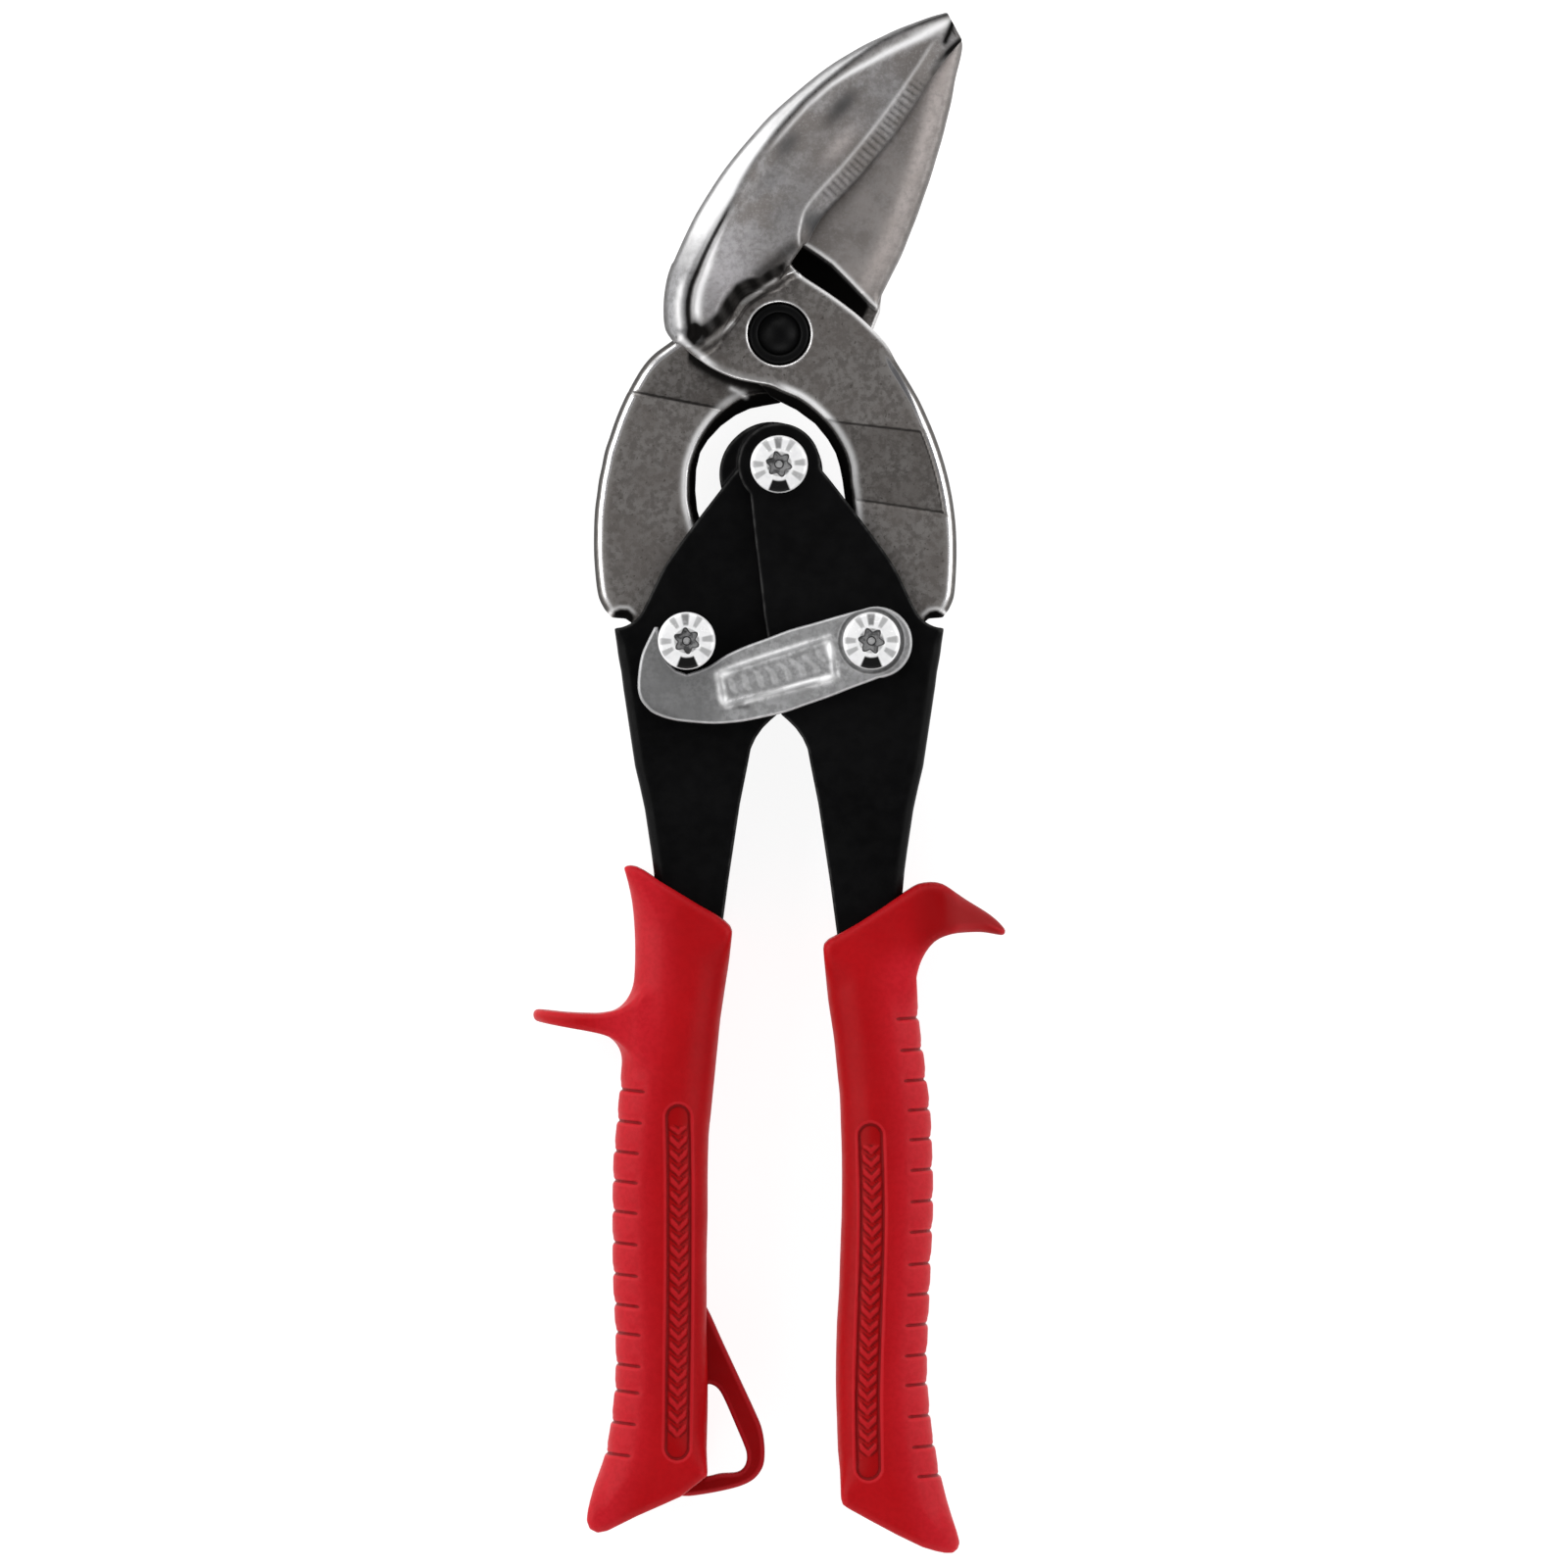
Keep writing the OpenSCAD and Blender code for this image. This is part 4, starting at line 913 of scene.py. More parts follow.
def latch():
    field = Field((-22.6, -61.0, 6.8), (22.0, -39.4, 10.1), 0.16)
    x, y, z = field.axes
    path = np.concatenate([LATCH_TAIL, LATCH_NOTCH, LATCH_HOOK, points("18,-47.85")])
    outline = np.minimum(field.outline(path), field.circle((14.88, -47.22), 5.48))
    bite = field.outline(REAR_PIVOT + points("-3.95,-0.6 -4.4,2.4 0,8 4.6,3 3.6,-1.8"))
    bite = np.minimum(field.circle(REAR_PIVOT, 4.0), bite)
    outline = np.maximum(outline, -bite)
    # raised frame with slanting marks inside
    top = 9.02
    frame_gap = field.outline(LATCH_FRAME) - 0.35
    height = top + 0.34 * gauss(frame_gap, 0.60)
    corner_x, corner_y = LATCH_FRAME[0]
    u = (x - corner_x) * 0.950 + (y - corner_y) * 0.312
    v = -(x - corner_x) * 0.312 + (y - corner_y) * 0.950
    slant = u + 0.30 * v + 0.25 * np.sin(v * 1.9 + u * 0.35)
    marks = (step(0.0, 0.8, np.sin(slant * 2 * math.pi / 2.05))
             * step(-1.0, -1.5, frame_gap))
    height = height + 0.11 * blur(marks, 2)
    # seat for the screw head
    seat = field.circle(FRONT_PIVOT)
    height = np.where(seat < 5.2, np.minimum(height, top), height) - 0.30 * step(5.15, 4.80, seat)
    solid = round_max(tall(outline), (z - tall(blur(height))) * tall(field.slope(height)), 0.45)
    solid = round_max(solid, 7.2 - z, 0.15)
    solid = field.bore(solid, FRONT_PIVOT, 2.56)

    # painted highlights at the frame's corners: centre, reach along and across, strength
    corners = [unit(strength * gauss(np.hypot(
        ((x - cx) * 0.95 + (y - cy) * 0.312) / along,
        ((y - cy) * 0.95 - (x - cx) * 0.312) / across), 1.0))
        for cx, cy, along, across, strength in (
            (-8.4, -52.05, 1.05, 0.62, 1.0), (-8.32, -56.1, 0.62, 0.90, 1.0),
            (7.65, -48.15, 0.62, 1.45, 1.2), (7.05, -52.8, 1.35, 0.55, 1.2))]
    lite = largest(*corners, 0.20 * marks, field.strokes(
        (0.80, 0.34, "0.75,-54.3 3.45,-53.4 5.85,-52.8"),
        (0.55, 0.34, "-4.95,-56.25 -1.95,-55.2 0.75,-54.3"),
        (0.38, 0.36, "-7.65,-51.15 -2.25,-49.2 4.05,-47.25"),
        (0.30, 0.5, "-9,-52.5 -8.85,-55.65"),
        (0.22, 0.4, "7.95,-49.65 9.45,-50.7 12.15,-51.75")))
    # painted shade round the screw seat, along the outline and in dark lines
    seat_shade = 0.25 + 0.38 * step(11.0, 15.0, x + 0.25 * (y + 47.2))
    dark = largest(seat_shade * gauss(seat - 4.72, 0.32), 0.35 * step(0.35, 0.0, -outline),
                   field.strokes(
        (0.60, 0.34, "-6.3,-57.15 -4.8,-57"),
        (0.28, 0.34, "-3.75,-55.5 1.5,-53.55 6.45,-51.9"),
        (0.30, 0.4, "-9.3,-56.25 -8.7,-57.45 -7.95,-57.75"),
        (0.30, 0.5, "-21.45,-54.45 -19.65,-57.15 -15.75,-58.65")))
    # painted shade: darker towards the left end
    tone = -0.42 * step(-5.0, -12.0, x) - 0.10 * step(2.0, -4.0, x)
    return field.mesh("latch_plate", solid, lite=unit(lite), dark=unit(dark), tone=tone)


# ------------------------------------------------------------------ screws, nuts and spring
def skin(name, rings, closed=False):
    """Skin over rings of points in metres; capped with fans unless it closes on itself."""
    sides, count = len(rings[0]), len(rings)
    verts = [tuple(point) for ring in rings for point in ring]
    faces = []
    for i in range(count if closed else count - 1):
        here, there = i * sides, (i + 1) % count * sides
        for k in range(sides):
            after = (k + 1) % sides
            faces.append((here + k, here + after, there + after, there + k))
    for i, flip in () if closed else ((0, True), (count - 1, False)):
        middle = len(verts)
        verts.append(tuple(np.mean(np.array(rings[i]), axis=0)))
        for k in range(sides):
            a, b = i * sides + k, i * sides + (k + 1) % sides
            faces.append((middle, b, a) if flip else (middle, a, b))
    return add_mesh(name, verts, faces)


def flat_ring(centre, radii, height):
    """Points in metres round a centre, one for each radius."""
    angles = [2 * math.pi * k / len(radii) for k in range(len(radii))]
    return [((centre[0] + r * math.cos(w)) * MM, (centre[1] + r * math.sin(w)) * MM,
             (height + MEET_Z) * MM) for r, w in zip(radii, angles)]


def turned_ring(name, centre, profile):
    """Turned piece with a hole; profile is a closed loop of radius and height."""
    return skin(name, [flat_ring(centre, [r] * 96, height) for r, height in profile], closed=True)


def shank(name, centre, radius, bottom, top, thread_top):
    """A rod with a helical thread from its bottom up to thread_top, then plain."""
    sides, depth, pitch = 64, 0.28, 0.8
    rings = []
    heights = list(np.arange(bottom, thread_top, pitch / 8))
    heights += list(np.linspace(max(thread_top, bottom), top, 6))
    for height in heights:
        threaded = 1.0 if height < thread_top else 0.0
        tip = min(1.0, (height - bottom) / 0.5 + 0.001)
        radii = []
        for k in range(sides):
            crest = 1 - abs(2 * ((height / pitch - k / sides) % 1.0) - 1)
            radii.append(radius - threaded * depth * (1 - crest) - 0.5 * (1 - tip))
        rings.append(flat_ring(centre, radii, height))
    return skin(name, rings)


def join(obs, name):
    bpy.ops.object.select_all(action="DESELECT")
    for ob in obs:
        ob.select_set(True)
    bpy.context.view_layer.objects.active = obs[0]
    bpy.ops.object.join()
    obs[0].name = name
    obs[0].data.name = name
    return obs[0]


def screw_head(name, centre, under, turn):
    """Round head with a six-lobed recess and a pin in it."""
    cx, cy = centre
    field = Field((cx - 4.8, cy - 4.8, under - 0.35), (cx + 4.8, cy + 4.8, under + 2.95), 0.085)
    x, y, z = field.axes
    radius = field.circle(centre)
    angle = np.arctan2(y - cy, x - cx) + turn
    height = under + 2.45 - 0.42 * (radius / 4.4) ** 3
    solid = round_max(tall(radius - 4.4), z - tall(height), 0.55)
    solid = round_max(solid, under - z, 0.15)
    lobes = 1.78 + 0.30 * np.cos(6 * angle)
    recess = tall(radius - lobes) - 0.12 * (z - (under + 2.3))
    solid = soft_max(solid, -np.maximum(recess, (under + 1.05) - z), 0.12)
    pin = np.maximum(tall(radius - 0.55), z - (under + 1.35))
    return field.mesh(name, soft_min(solid, pin, 0.15))


def screw(name, centre, under, end, turn):
    head = screw_head(name + "_h", centre, under, turn)
    rod = shank(name + "_s", centre, 2.5, end, under + 0.4, thread_top=end + 3.0)
    return join([head, rod], name)


def hexagon(name, centre, across_flats, bottom, top, bore=0.0):
    """Hexagon with its lower corners chamfered, and a countersunk bore if one is given."""
    cx, cy = centre
    reach = across_flats * 0.64
    field = Field((cx - reach, cy - reach, bottom - 0.4), (cx + reach, cy + reach, top + 0.4), 0.12)
    x, y, z = field.axes
    radius = field.circle(centre)
    angle = np.arctan2(y - cy, x - cx)
    flat = np.round(angle / (math.pi / 3))
    outline = radius * np.cos(angle - flat * math.pi / 3) - across_flats / 2
    solid = round_max(tall(outline), np.maximum(z - top, bottom - z), 0.12)
    cone = (tall(radius) - across_flats * 0.5 - 0.15 - 1.7 * (z - bottom)) * 0.5
    solid = soft_max(solid, cone, 0.1)
    if bore:
        solid = np.maximum(solid, bore - tall(radius))
        solid = np.maximum(solid, ((bore + 0.35 - (z - bottom)) - tall(radius)) * 0.7)
    return field.mesh(name, solid)


def spring():
    """Torsion coil with a straight leg in each handle."""
    cx, cy, coil_radius, wire_radius = -1.1, -21.2, 7.0, 0.8
    turns, pitch, count, sides = 2.6, 1.64, 150, 20
    bottom = -turns * pitch / 2
    lower_leg = [(*xy, bottom) for xy in points(
        "-5.6,-40.8 -6.1,-38.6 -7.1,-33.5 -7.7,-29.5 -8.02,-26.0 -8.1,-23.2")]
    upper_leg = [(*xy, -bottom) for xy in points(
        "-2.6,-33.6 -1.0,-36.2 1.6,-38.9 3.2,-40.4 5.1,-42.6")]
    coil = []
    for i in range(count + 1):
        w = math.radians(180 - 360 * turns * i / count)
        coil.append((cx + coil_radius * math.cos(w), cy + coil_radius * math.sin(w),
                     bottom + pitch * turns * i / count))
    path = np.concatenate([curve(lower_leg, 6), coil, curve([coil[-1]] + upper_leg, 6)[1:]])
    last = len(path) - 1
    rings = []
    for i, place_on_path in enumerate(path):
        forward = path[min(i + 1, last)] - path[max(i - 1, 0)]
        forward = forward / np.linalg.norm(forward)
        side = np.cross(forward, (0, 0, 1.0))
        side /= np.linalg.norm(side)
        up = np.cross(side, forward)
        radius = wire_radius * (0.86 if i in (0, last) else 1.0)
        rings.append([])
        for k in range(sides):
            w = 2 * math.pi * k / sides
            point = place_on_path + radius * (math.cos(w) * side + math.sin(w) * up)
            rings[-1].append(tuple((point + np.array([0, 0, MEET_Z])) * MM))
    return skin("torsion_spring_coil", rings)


# ------------------------------------------------------------------ materials
class Material:
    """A Principled material with helpers for procedural detail in object space."""

    def __init__(self, name, **values):
        self.material = bpy.data.materials.new(name)
        self.material.use_nodes = True
        self.tree = self.material.node_tree
        self.shader = self.tree.nodes["Principled BSDF"]
        self.coords = self.node("ShaderNodeTexCoord", {})
        self.set(**values)

    def put(self, socket, value):
        """Give a socket a number, a colour or a link."""
        if isinstance(value, tuple):
            socket.default_value = (*value, 1.0)
        elif isinstance(value, (int, float)):
            socket.default_value = value
        else:
            self.tree.links.new(value, socket)

    def set(self, **values):
        """Set the shader's inputs; underscores stand for spaces."""
        for key, value in values.items():
            self.put(self.shader.inputs[key.replace("_", " ")], value)

    def node(self, kind, inputs, **settings):
        node = self.tree.nodes.new(kind)
        for key, value in settings.items():
            setattr(node, key, value)
        for key, value in inputs.items():
            self.put(node.inputs[key], value)
        return node

    def noises(self, *rows):
        """Noise textures; each row is scale, detail and roughness."""
        return [self.node("ShaderNodeTexNoise", {
            "Scale": scale, "Detail": detail, "Roughness": roughness,
            "Vector": self.coords.outputs["Object"]}).outputs["Fac"]
            for scale, detail, roughness in rows]

    def attributes(self, names):
        return [self.node("ShaderNodeAttribute", {}, attribute_name=name).outputs["Fac"]
                for name in names.split()]

    def split(self, vector):
        return self.node("ShaderNodeSeparateXYZ", {0: vector}).outputs

    def normal_z(self):
        return self.split(self.coords.outputs["Normal"])[2]

    def ramp(self, value, start, end, to=(0.0, 1.0)):
        """Smooth step from start to end, mapped onto the range `to`."""
        return self.node("ShaderNodeMapRange", {
            "Value": value, "From Min": start, "From Max": end, "To Min": to[0], "To Max": to[1]},
            interpolation_type="SMOOTHSTEP").outputs["Result"]

    def math(self, operation, *values):
        return self.node("ShaderNodeMath", dict(enumerate(values)), operation=operation).outputs[0]

    def times(self, first, *others):
        for other in others:
            first = self.math("MULTIPLY", first, other)
        return first

    def mix(self, mask, a, b):
        return self.node("ShaderNodeMix", {0: mask, 6: a, 7: b}, data_type="RGBA").outputs[2]

    def mix_value(self, mask, a, b):
        return self.node("ShaderNodeMix", {0: mask, 2: a, 3: b}, data_type="FLOAT").outputs[0]

    def layers(self, base, *rows):
        """Colours laid over a base; each row is mask and colour."""
        for mask, colour in rows:
            base = self.mix(mask, base, colour)
        return base

    def bump(self, height, strength, depth, **after):
        """Bump of a depth in millimetres, on top of another normal if one is given."""
        return self.node("ShaderNodeBump", {
            "Strength": strength, "Distance": depth * MM, "Height": height, **after}
            ).outputs["Normal"]

    def grain(self, fine, fine_share, mid, mid_share, strength, depth):
        height = self.math("ADD", self.times(fine, fine_share), self.times(mid, mid_share))
        return self.bump(height, strength, depth)


def forged_steel():
    m = Material("forged_steel")
    fine, mid, big, pit = m.noises((2600, 3, 0.6), (950, 5, 0.66), (160, 5, 0.62), (1500, 2, 0.5))
    jaw, polish, rim, dark, lite, edge, tone, bend, warm = m.attributes(
        "jaw polish rim dark lite edge tone bend warm")
    # the painted shade, highlights and reflections belong to the upper side only
    upper = m.ramp(m.normal_z(), -0.75, -0.35)
    dark, lite, tone = (m.times(value, upper) for value in (dark, lite, tone))
    off_jaw = m.math("SUBTRACT", 1.0, jaw)
    blot = m.ramp(mid, 0.40, 0.61)
    # ground and tumbled faces: warm grey, mottled and pitted
    ground = m.layers(
        m.mix(blot, (0.155, 0.142, 0.133), (0.300, 0.282, 0.268)),
        (m.ramp(big, 0.45, 0.62, to=(0.0, 0.5)), (0.185, 0.165, 0.152)),
        (m.ramp(pit, 0.64, 0.74, to=(0.0, 0.8)), (0.07, 0.06, 0.052)))
    # jaw faces: cooler and lighter, clouded, with the painted light and dark tones on top
    light = m.times(m.ramp(tone, 0.0, 1.0), m.ramp(mid, 0.35, 0.6, to=(0.6, 1.0)))
    jaw_face = m.layers(
        m.mix(m.ramp(mid, 0.36, 0.66), (0.205, 0.197, 0.196), (0.325, 0.316, 0.316)),
        (m.ramp(big, 0.42, 0.60, to=(0.0, 0.85)), (0.180, 0.163, 0.152)),
        (m.ramp(big, 0.44, 0.30, to=(0.0, 0.5)), (0.36, 0.355, 0.37)),
        (m.ramp(fine, 0.52, 0.70, to=(0.0, 0.35)), (0.40, 0.39, 0.39)),
        (light, m.mix(warm, (0.64, 0.63, 0.67), (0.62, 0.56, 0.54))),
        (m.times(warm, m.ramp(big, 0.35, 0.6, to=(0.5, 0.15))), (0.29, 0.25, 0.225)),
        (m.ramp(tone, 0.0, -1.0), m.mix(warm, (0.062, 0.065, 0.070), (0.070, 0.060, 0.052))))
    # polished lines and off-jaw edges shine, their near-white colour a painted highlight, kept from dark
    # places
    shine_and_highlight = m.math("MAXIMUM", m.ramp(polish, 0.30, 0.80),
                   m.times(m.ramp(bend, 0.5, 1.8, to=(0.0, 0.62)), off_jaw))
    shine_and_highlight = m.times(shine_and_highlight, m.ramp(mid, 0.2, 0.5, to=(0.75, 1.0)),
                    m.ramp(dark, 0.03, 0.12, to=(1.0, 0.0)),
                    m.ramp(edge, 0.15, 0.55, to=(1.0, 0.0)))
    # painted shade in concave places
    hollow = m.times(m.ramp(bend, -0.3, -1.2), m.math("SUBTRACT", 1.0, lite),
                     m.ramp(edge, 0.15, 0.5, to=(1.0, 0.0)))
    # painted highlights, painted shade in hollows, a painted dark outline on edges and the painted dark
    # places go over the steel's own colour
    colour = m.layers(
        m.mix(jaw, ground, jaw_face),
        (m.times(rim, 0.8), m.mix(blot, (0.30, 0.30, 0.305), (0.40, 0.40, 0.41))),
        (m.times(m.ramp(polish, 0.05, 0.25), 0.30), (0.45, 0.43, 0.41)),
        (shine_and_highlight, (0.88, 0.87, 0.87)),
        (m.times(hollow, 0.8), (0.035, 0.030, 0.028)),
        (m.times(lite, m.ramp(mid, 0.25, 0.5, to=(0.9, 1.0))), (0.97, 0.965, 0.965)),
        (m.times(edge, 0.97), (0.050, 0.047, 0.045)),
        (m.math("MINIMUM", m.times(dark, 1.06), 1.0), (0.0045, 0.0040, 0.0036)))
    metallic = m.mix_value(jaw, 0.75, 0.5)
    for mask, value in ((shine_and_highlight, 1.0), (lite, 0.2), (dark, 0.3)):
        metallic = m.mix_value(mask, metallic, value)
    rough = m.mix_value(shine_and_highlight, m.ramp(mid, 0.3, 0.7, to=(0.50, 0.38)), 0.18)
    rough = m.mix_value(m.math("MAXIMUM", dark, m.times(edge, 0.8)), rough, 0.62)
    calm = m.math("SUBTRACT", 1.0, m.times(shine_and_highlight, 0.85))
    height = m.times(m.math("ADD", m.times(mid, 0.7), m.times(fine, 0.35)), calm)
    m.set(Base_Color=colour, Metallic=metallic, Roughness=rough,
          Specular_IOR_Level=m.mix_value(dark, 0.4, 0.04),
          Normal=m.bump(height, strength=0.5, depth=0.05))
    return m.material


def black(name, base, rough, edge_wear_highlight, metallic, specular):
    """Near-black finish, lighter on its edges: wear, with a painted highlight."""
    m = Material(name, Metallic=metallic)
    fine, mid, big = m.noises((3200, 2, 0.5), (500, 4, 0.6), (60, 3, 0.5))
    bend, = m.attributes("bend")
    # edges lighter: wear with a painted highlight
    wear_and_highlight = m.times(m.ramp(bend, 0.9, 2.4), m.ramp(mid, 0.42, 0.60, to=(0.10, 0.38)))
    lighter = tuple(v * 1.7 for v in base)
    m.set(Base_Color=m.layers(m.mix(m.ramp(big, 0.3, 0.7), base, lighter), (wear_and_highlight, edge_wear_highlight)),
          Roughness=m.ramp(mid, 0.3, 0.7, to=rough), Specular_IOR_Level=specular,
          Normal=m.grain(fine, 0.5, mid, 0.6, strength=0.35, depth=0.035))
    return m.material


def red_vinyl():
    m = Material("red_vinyl")
    fine, mid, big, speckle = m.noises((2400, 2, 0.5), (330, 4, 0.6), (45, 3, 0.55),
                                       (1300, 3, 0.6))
    panel, inner, outer, bend, dark = m.attributes("panel inner outer bend dark")
    base = (0.425, 0.0045, 0.0075)
    deeper = tuple(0.86 * v for v in base)
    colour = m.layers(
        m.mix(m.ramp(big, 0.3, 0.7), base, deeper),
        (m.times(m.ramp(outer, 0.0, 0.9), 0.75), (0.54, 0.0140, 0.0240)),      # painted highlight on the rounded outer side
        # painted highlight: a brighter, deeper red along the rounded inner edge
        (m.times(m.ramp(inner, 0.1, 0.9), 0.55), (0.455, 0.0010, 0.0020)),
        (m.times(m.ramp(panel, 0.3, 0.9), 0.78), (0.31, 0.0012, 0.0020)),
        (m.times(dark, 0.85), (0.205, 0.0008, 0.0012)),
        (m.times(m.ramp(bend, -0.3, -1.3), 0.75), (0.13, 0.0008, 0.0014)),     # painted shade in the grooves
        (m.ramp(speckle, 0.40, 0.62, to=(0.0, 0.20)), (0.27, 0.002, 0.004)),
        (m.times(m.ramp(bend, 0.35, 1.6), 0.35), (0.64, 0.022, 0.032)))        # painted highlight on edges
    m.set(Base_Color=colour, Roughness=m.ramp(mid, 0.3, 0.7, to=(0.40, 0.52)),
          Specular_IOR_Level=0.09,
          Normal=m.grain(fine, 0.5, mid, 0.5, strength=0.25, depth=0.03))
    return m.material


def screw_face(m, mid, centre, turn):
    """Plated face painted as a bright reflection, broken by dark radial spokes, with painted shade in the
    recess; radii in millimetres.
    """
    place_x, place_y, _ = m.split(m.coords.outputs["Object"])
    dx = m.math("SUBTRACT", place_x, centre[0] * MM)
    dy = m.math("SUBTRACT", place_y, centre[1] * MM)
    radius = m.math("SQRT", m.math("ADD", m.times(dx, dx), m.times(dy, dy)))
    radius = m.times(radius, 1 / MM)
    angle = m.math("ARCTAN2", dy, dx)
    facing_up = m.ramp(m.normal_z(), 0.35, 0.75)
    band = m.times(m.ramp(radius, 2.15, 2.6), m.ramp(radius, 4.25, 4.05), facing_up)
    # painted reflection: dark radial spokes across the bright face
    reflection_spokes = 0.0
    # direction and half width in degrees, depth of shade
    for degrees, half, depth in ((2, 7, .62), (57, 6, .6), (90, 8, .9), (121, 6, .6),
                                 (178, 7, .62), (206, 6, .6), (-33, 7, .62)):
        near = m.math("COSINE", m.math("SUBTRACT", angle, math.radians(degrees) + turn))
        near = m.ramp(near, math.cos(math.radians(half * 1.5)),
                      math.cos(math.radians(half * 0.6)), to=(0.0, depth))
        reflection_spokes = m.math("MAXIMUM", near, reflection_spokes)
    reflection_spokes = m.times(reflection_spokes, band, m.ramp(mid, 0.3, 0.5, to=(0.75, 1.0)))
    # painted dark reflection: a black sector towards -Y
    towards = m.math("COSINE", m.math("SUBTRACT", angle, -1.60 + turn))
    dark_reflection = m.times(m.ramp(towards, 0.90, 0.935),
                         m.times(m.ramp(radius, 2.35, 2.7), m.ramp(radius, 4.5, 4.35)), facing_up)
    m.set(Specular_IOR_Level=m.mix_value(dark_reflection, 0.5, 0.08),
          Metallic=m.mix_value(dark_reflection, 0.16, 0.02))
    # painted shade in the recess
    recess_shade = m.times(m.ramp(radius, 2.05, 1.75), m.ramp(mid, 0.36, 0.56, to=(0.95, 0.5)))
    # the face's near-white is a painted reflection
    colour = m.layers(
        m.mix(m.ramp(mid, 0.3, 0.6), (0.90, 0.90, 0.91), (0.985, 0.985, 0.985)),
        (reflection_spokes, (0.16, 0.16, 0.16)),
        (dark_reflection, (0.010, 0.010, 0.010)),
        (recess_shade, (0.09, 0.09, 0.09)),
        # painted shade on the rounded rim
        (m.times(m.ramp(radius, 4.25, 4.5), 0.5), (0.40, 0.40, 0.40)))
    turning_pitch = 0.16
    return colour, m.math("SINE", m.times(radius, 2 * math.pi / turning_pitch))


def zinc(name, centre=None, turn=0.0):
    """Plated steel; a screw's face is drawn round its centre."""
    m = Material(name, Metallic=1.0 if centre is None else 0.16)
    fine, mid = m.noises((1800, 3, 0.5), (700, 4, 0.6))
    bend, = m.attributes("bend")
    normal = m.bump(fine, strength=0.12, depth=0.02)
    if centre is None:
        colour = m.mix(m.ramp(mid, 0.35, 0.7), (0.34, 0.34, 0.35), (0.50, 0.50, 0.51))
    else:
        colour, turning = screw_face(m, mid, centre, turn)
        normal = m.bump(turning, strength=0.2, depth=0.010, Normal=normal)
    # painted shade in grooves
    groove = m.times(m.ramp(bend, -0.8, -2.6), 0.85)
    m.set(Base_Color=m.layers(colour, (groove, (0.06, 0.06, 0.06))),
          Roughness=m.ramp(mid, 0.3, 0.7, to=(0.18, 0.28)), Normal=normal)
    return m.material


def latch_zinc():
    m = Material("latch_zinc", Metallic=0.5)
    fine, mid, big = m.noises((1900, 3, 0.6), (900, 5, 0.65), (210, 3, 0.6))
    bend, tone, lite, dark = m.attributes("bend tone lite dark")
    # painted shade: the darker left end and the grooves; painted highlights on edges; then the latch's own
    # painted highlights and shade
    colour = m.layers(
        m.mix(m.ramp(mid, 0.38, 0.62), (0.30, 0.30, 0.30), (0.50, 0.50, 0.505)),
        (m.ramp(big, 0.45, 0.62, to=(0.0, 0.45)), (0.33, 0.33, 0.33)),
        (m.ramp(tone, 0.0, -1.0), (0.10, 0.10, 0.10)),
        (m.times(m.ramp(bend, 0.5, 2.0), 0.55), (0.66, 0.66, 0.665)),
        (m.times(m.ramp(bend, -0.5, -2.0), 0.45), (0.14, 0.14, 0.14)),
        (lite, (0.97, 0.97, 0.97)),
        (dark, (0.05, 0.05, 0.05)))
    m.set(Base_Color=colour, Metallic=m.mix_value(lite, 0.5, 0.2),
          Roughness=m.ramp(mid, 0.3, 0.7, to=(0.48, 0.34)),
          Normal=m.grain(fine, 0.4, mid, 0.8, strength=0.4, depth=0.04))
    return m.material


# ------------------------------------------------------------------ putting it together
STEEL = forged_steel()
BLACK = black("satin_black", base=(0.0019, 0.0019, 0.0020), rough=(0.34, 0.48),
              edge_wear_highlight=(0.075, 0.074, 0.072), metallic=0.0, specular=0.075)
OXIDE = black("black_oxide", base=(0.0022, 0.0022, 0.0023), rough=(0.34, 0.46),
              edge_wear_highlight=(0.05, 0.05, 0.05), metallic=0.0, specular=0.09)
RED = red_vinyl()
ZINC = zinc("zinc")
LATCH = latch_zinc()
WIRE = black("spring_wire", base=(0.006, 0.006, 0.0063), rough=(0.25, 0.4),
             edge_wear_highlight=(0.1, 0.1, 0.1), metallic=0.3, specular=0.075)


def place(ob, body, slot, material, *replaced):
    ob.data.materials.append(material)
    if replaced:
        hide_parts(*replaced)
    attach(ob, body)


place(front_blade(), "front_blade", "forged_steel", STEEL, "front_blade")
place(rear_blade(), "rear_blade", "forged_steel", STEEL, "rear_blade")
place(handle("right_handle_channel", twin=False), "right_handle", "black_handle", BLACK,
      "right_handle")
place(handle("left_handle_channel", twin=True), "left_handle", "black_handle", BLACK,
      "left_handle")
place(grip(LEFT_GRIP), "left_handle", "red_grip", RED, "left_grip")
place(hang_loop(), "left_handle", "red_grip", RED)
place(grip(RIGHT_GRIP), "right_handle", "red_grip", RED, "right_grip")
place(latch(), "latch", "latch_zinc", LATCH, "latch")

# name, body, centre, underside of the head, end of the shank, turn in radians, CAD piece
for name, body, centre, under, end, turn, piece in (
        ("left_link_screw", "left_handle", REAR_PIVOT, 9.3, -10.1, 0.4, "left_link_bolt"),
        ("right_link_screw", "right_handle", FRONT_PIVOT, 9.3, -8.8, 0.15, "right_link_bolt"),
        ("handle_pivot_screw", "left_handle", HANDLE_PIVOT, 7.05, -10.1, 0.25,
         "handle_pivot_bolt")):
    place(screw(name, centre, under, end, turn), body, "bright_zinc",
          zinc(name + "_zinc", centre, 0.15 * turn), piece)
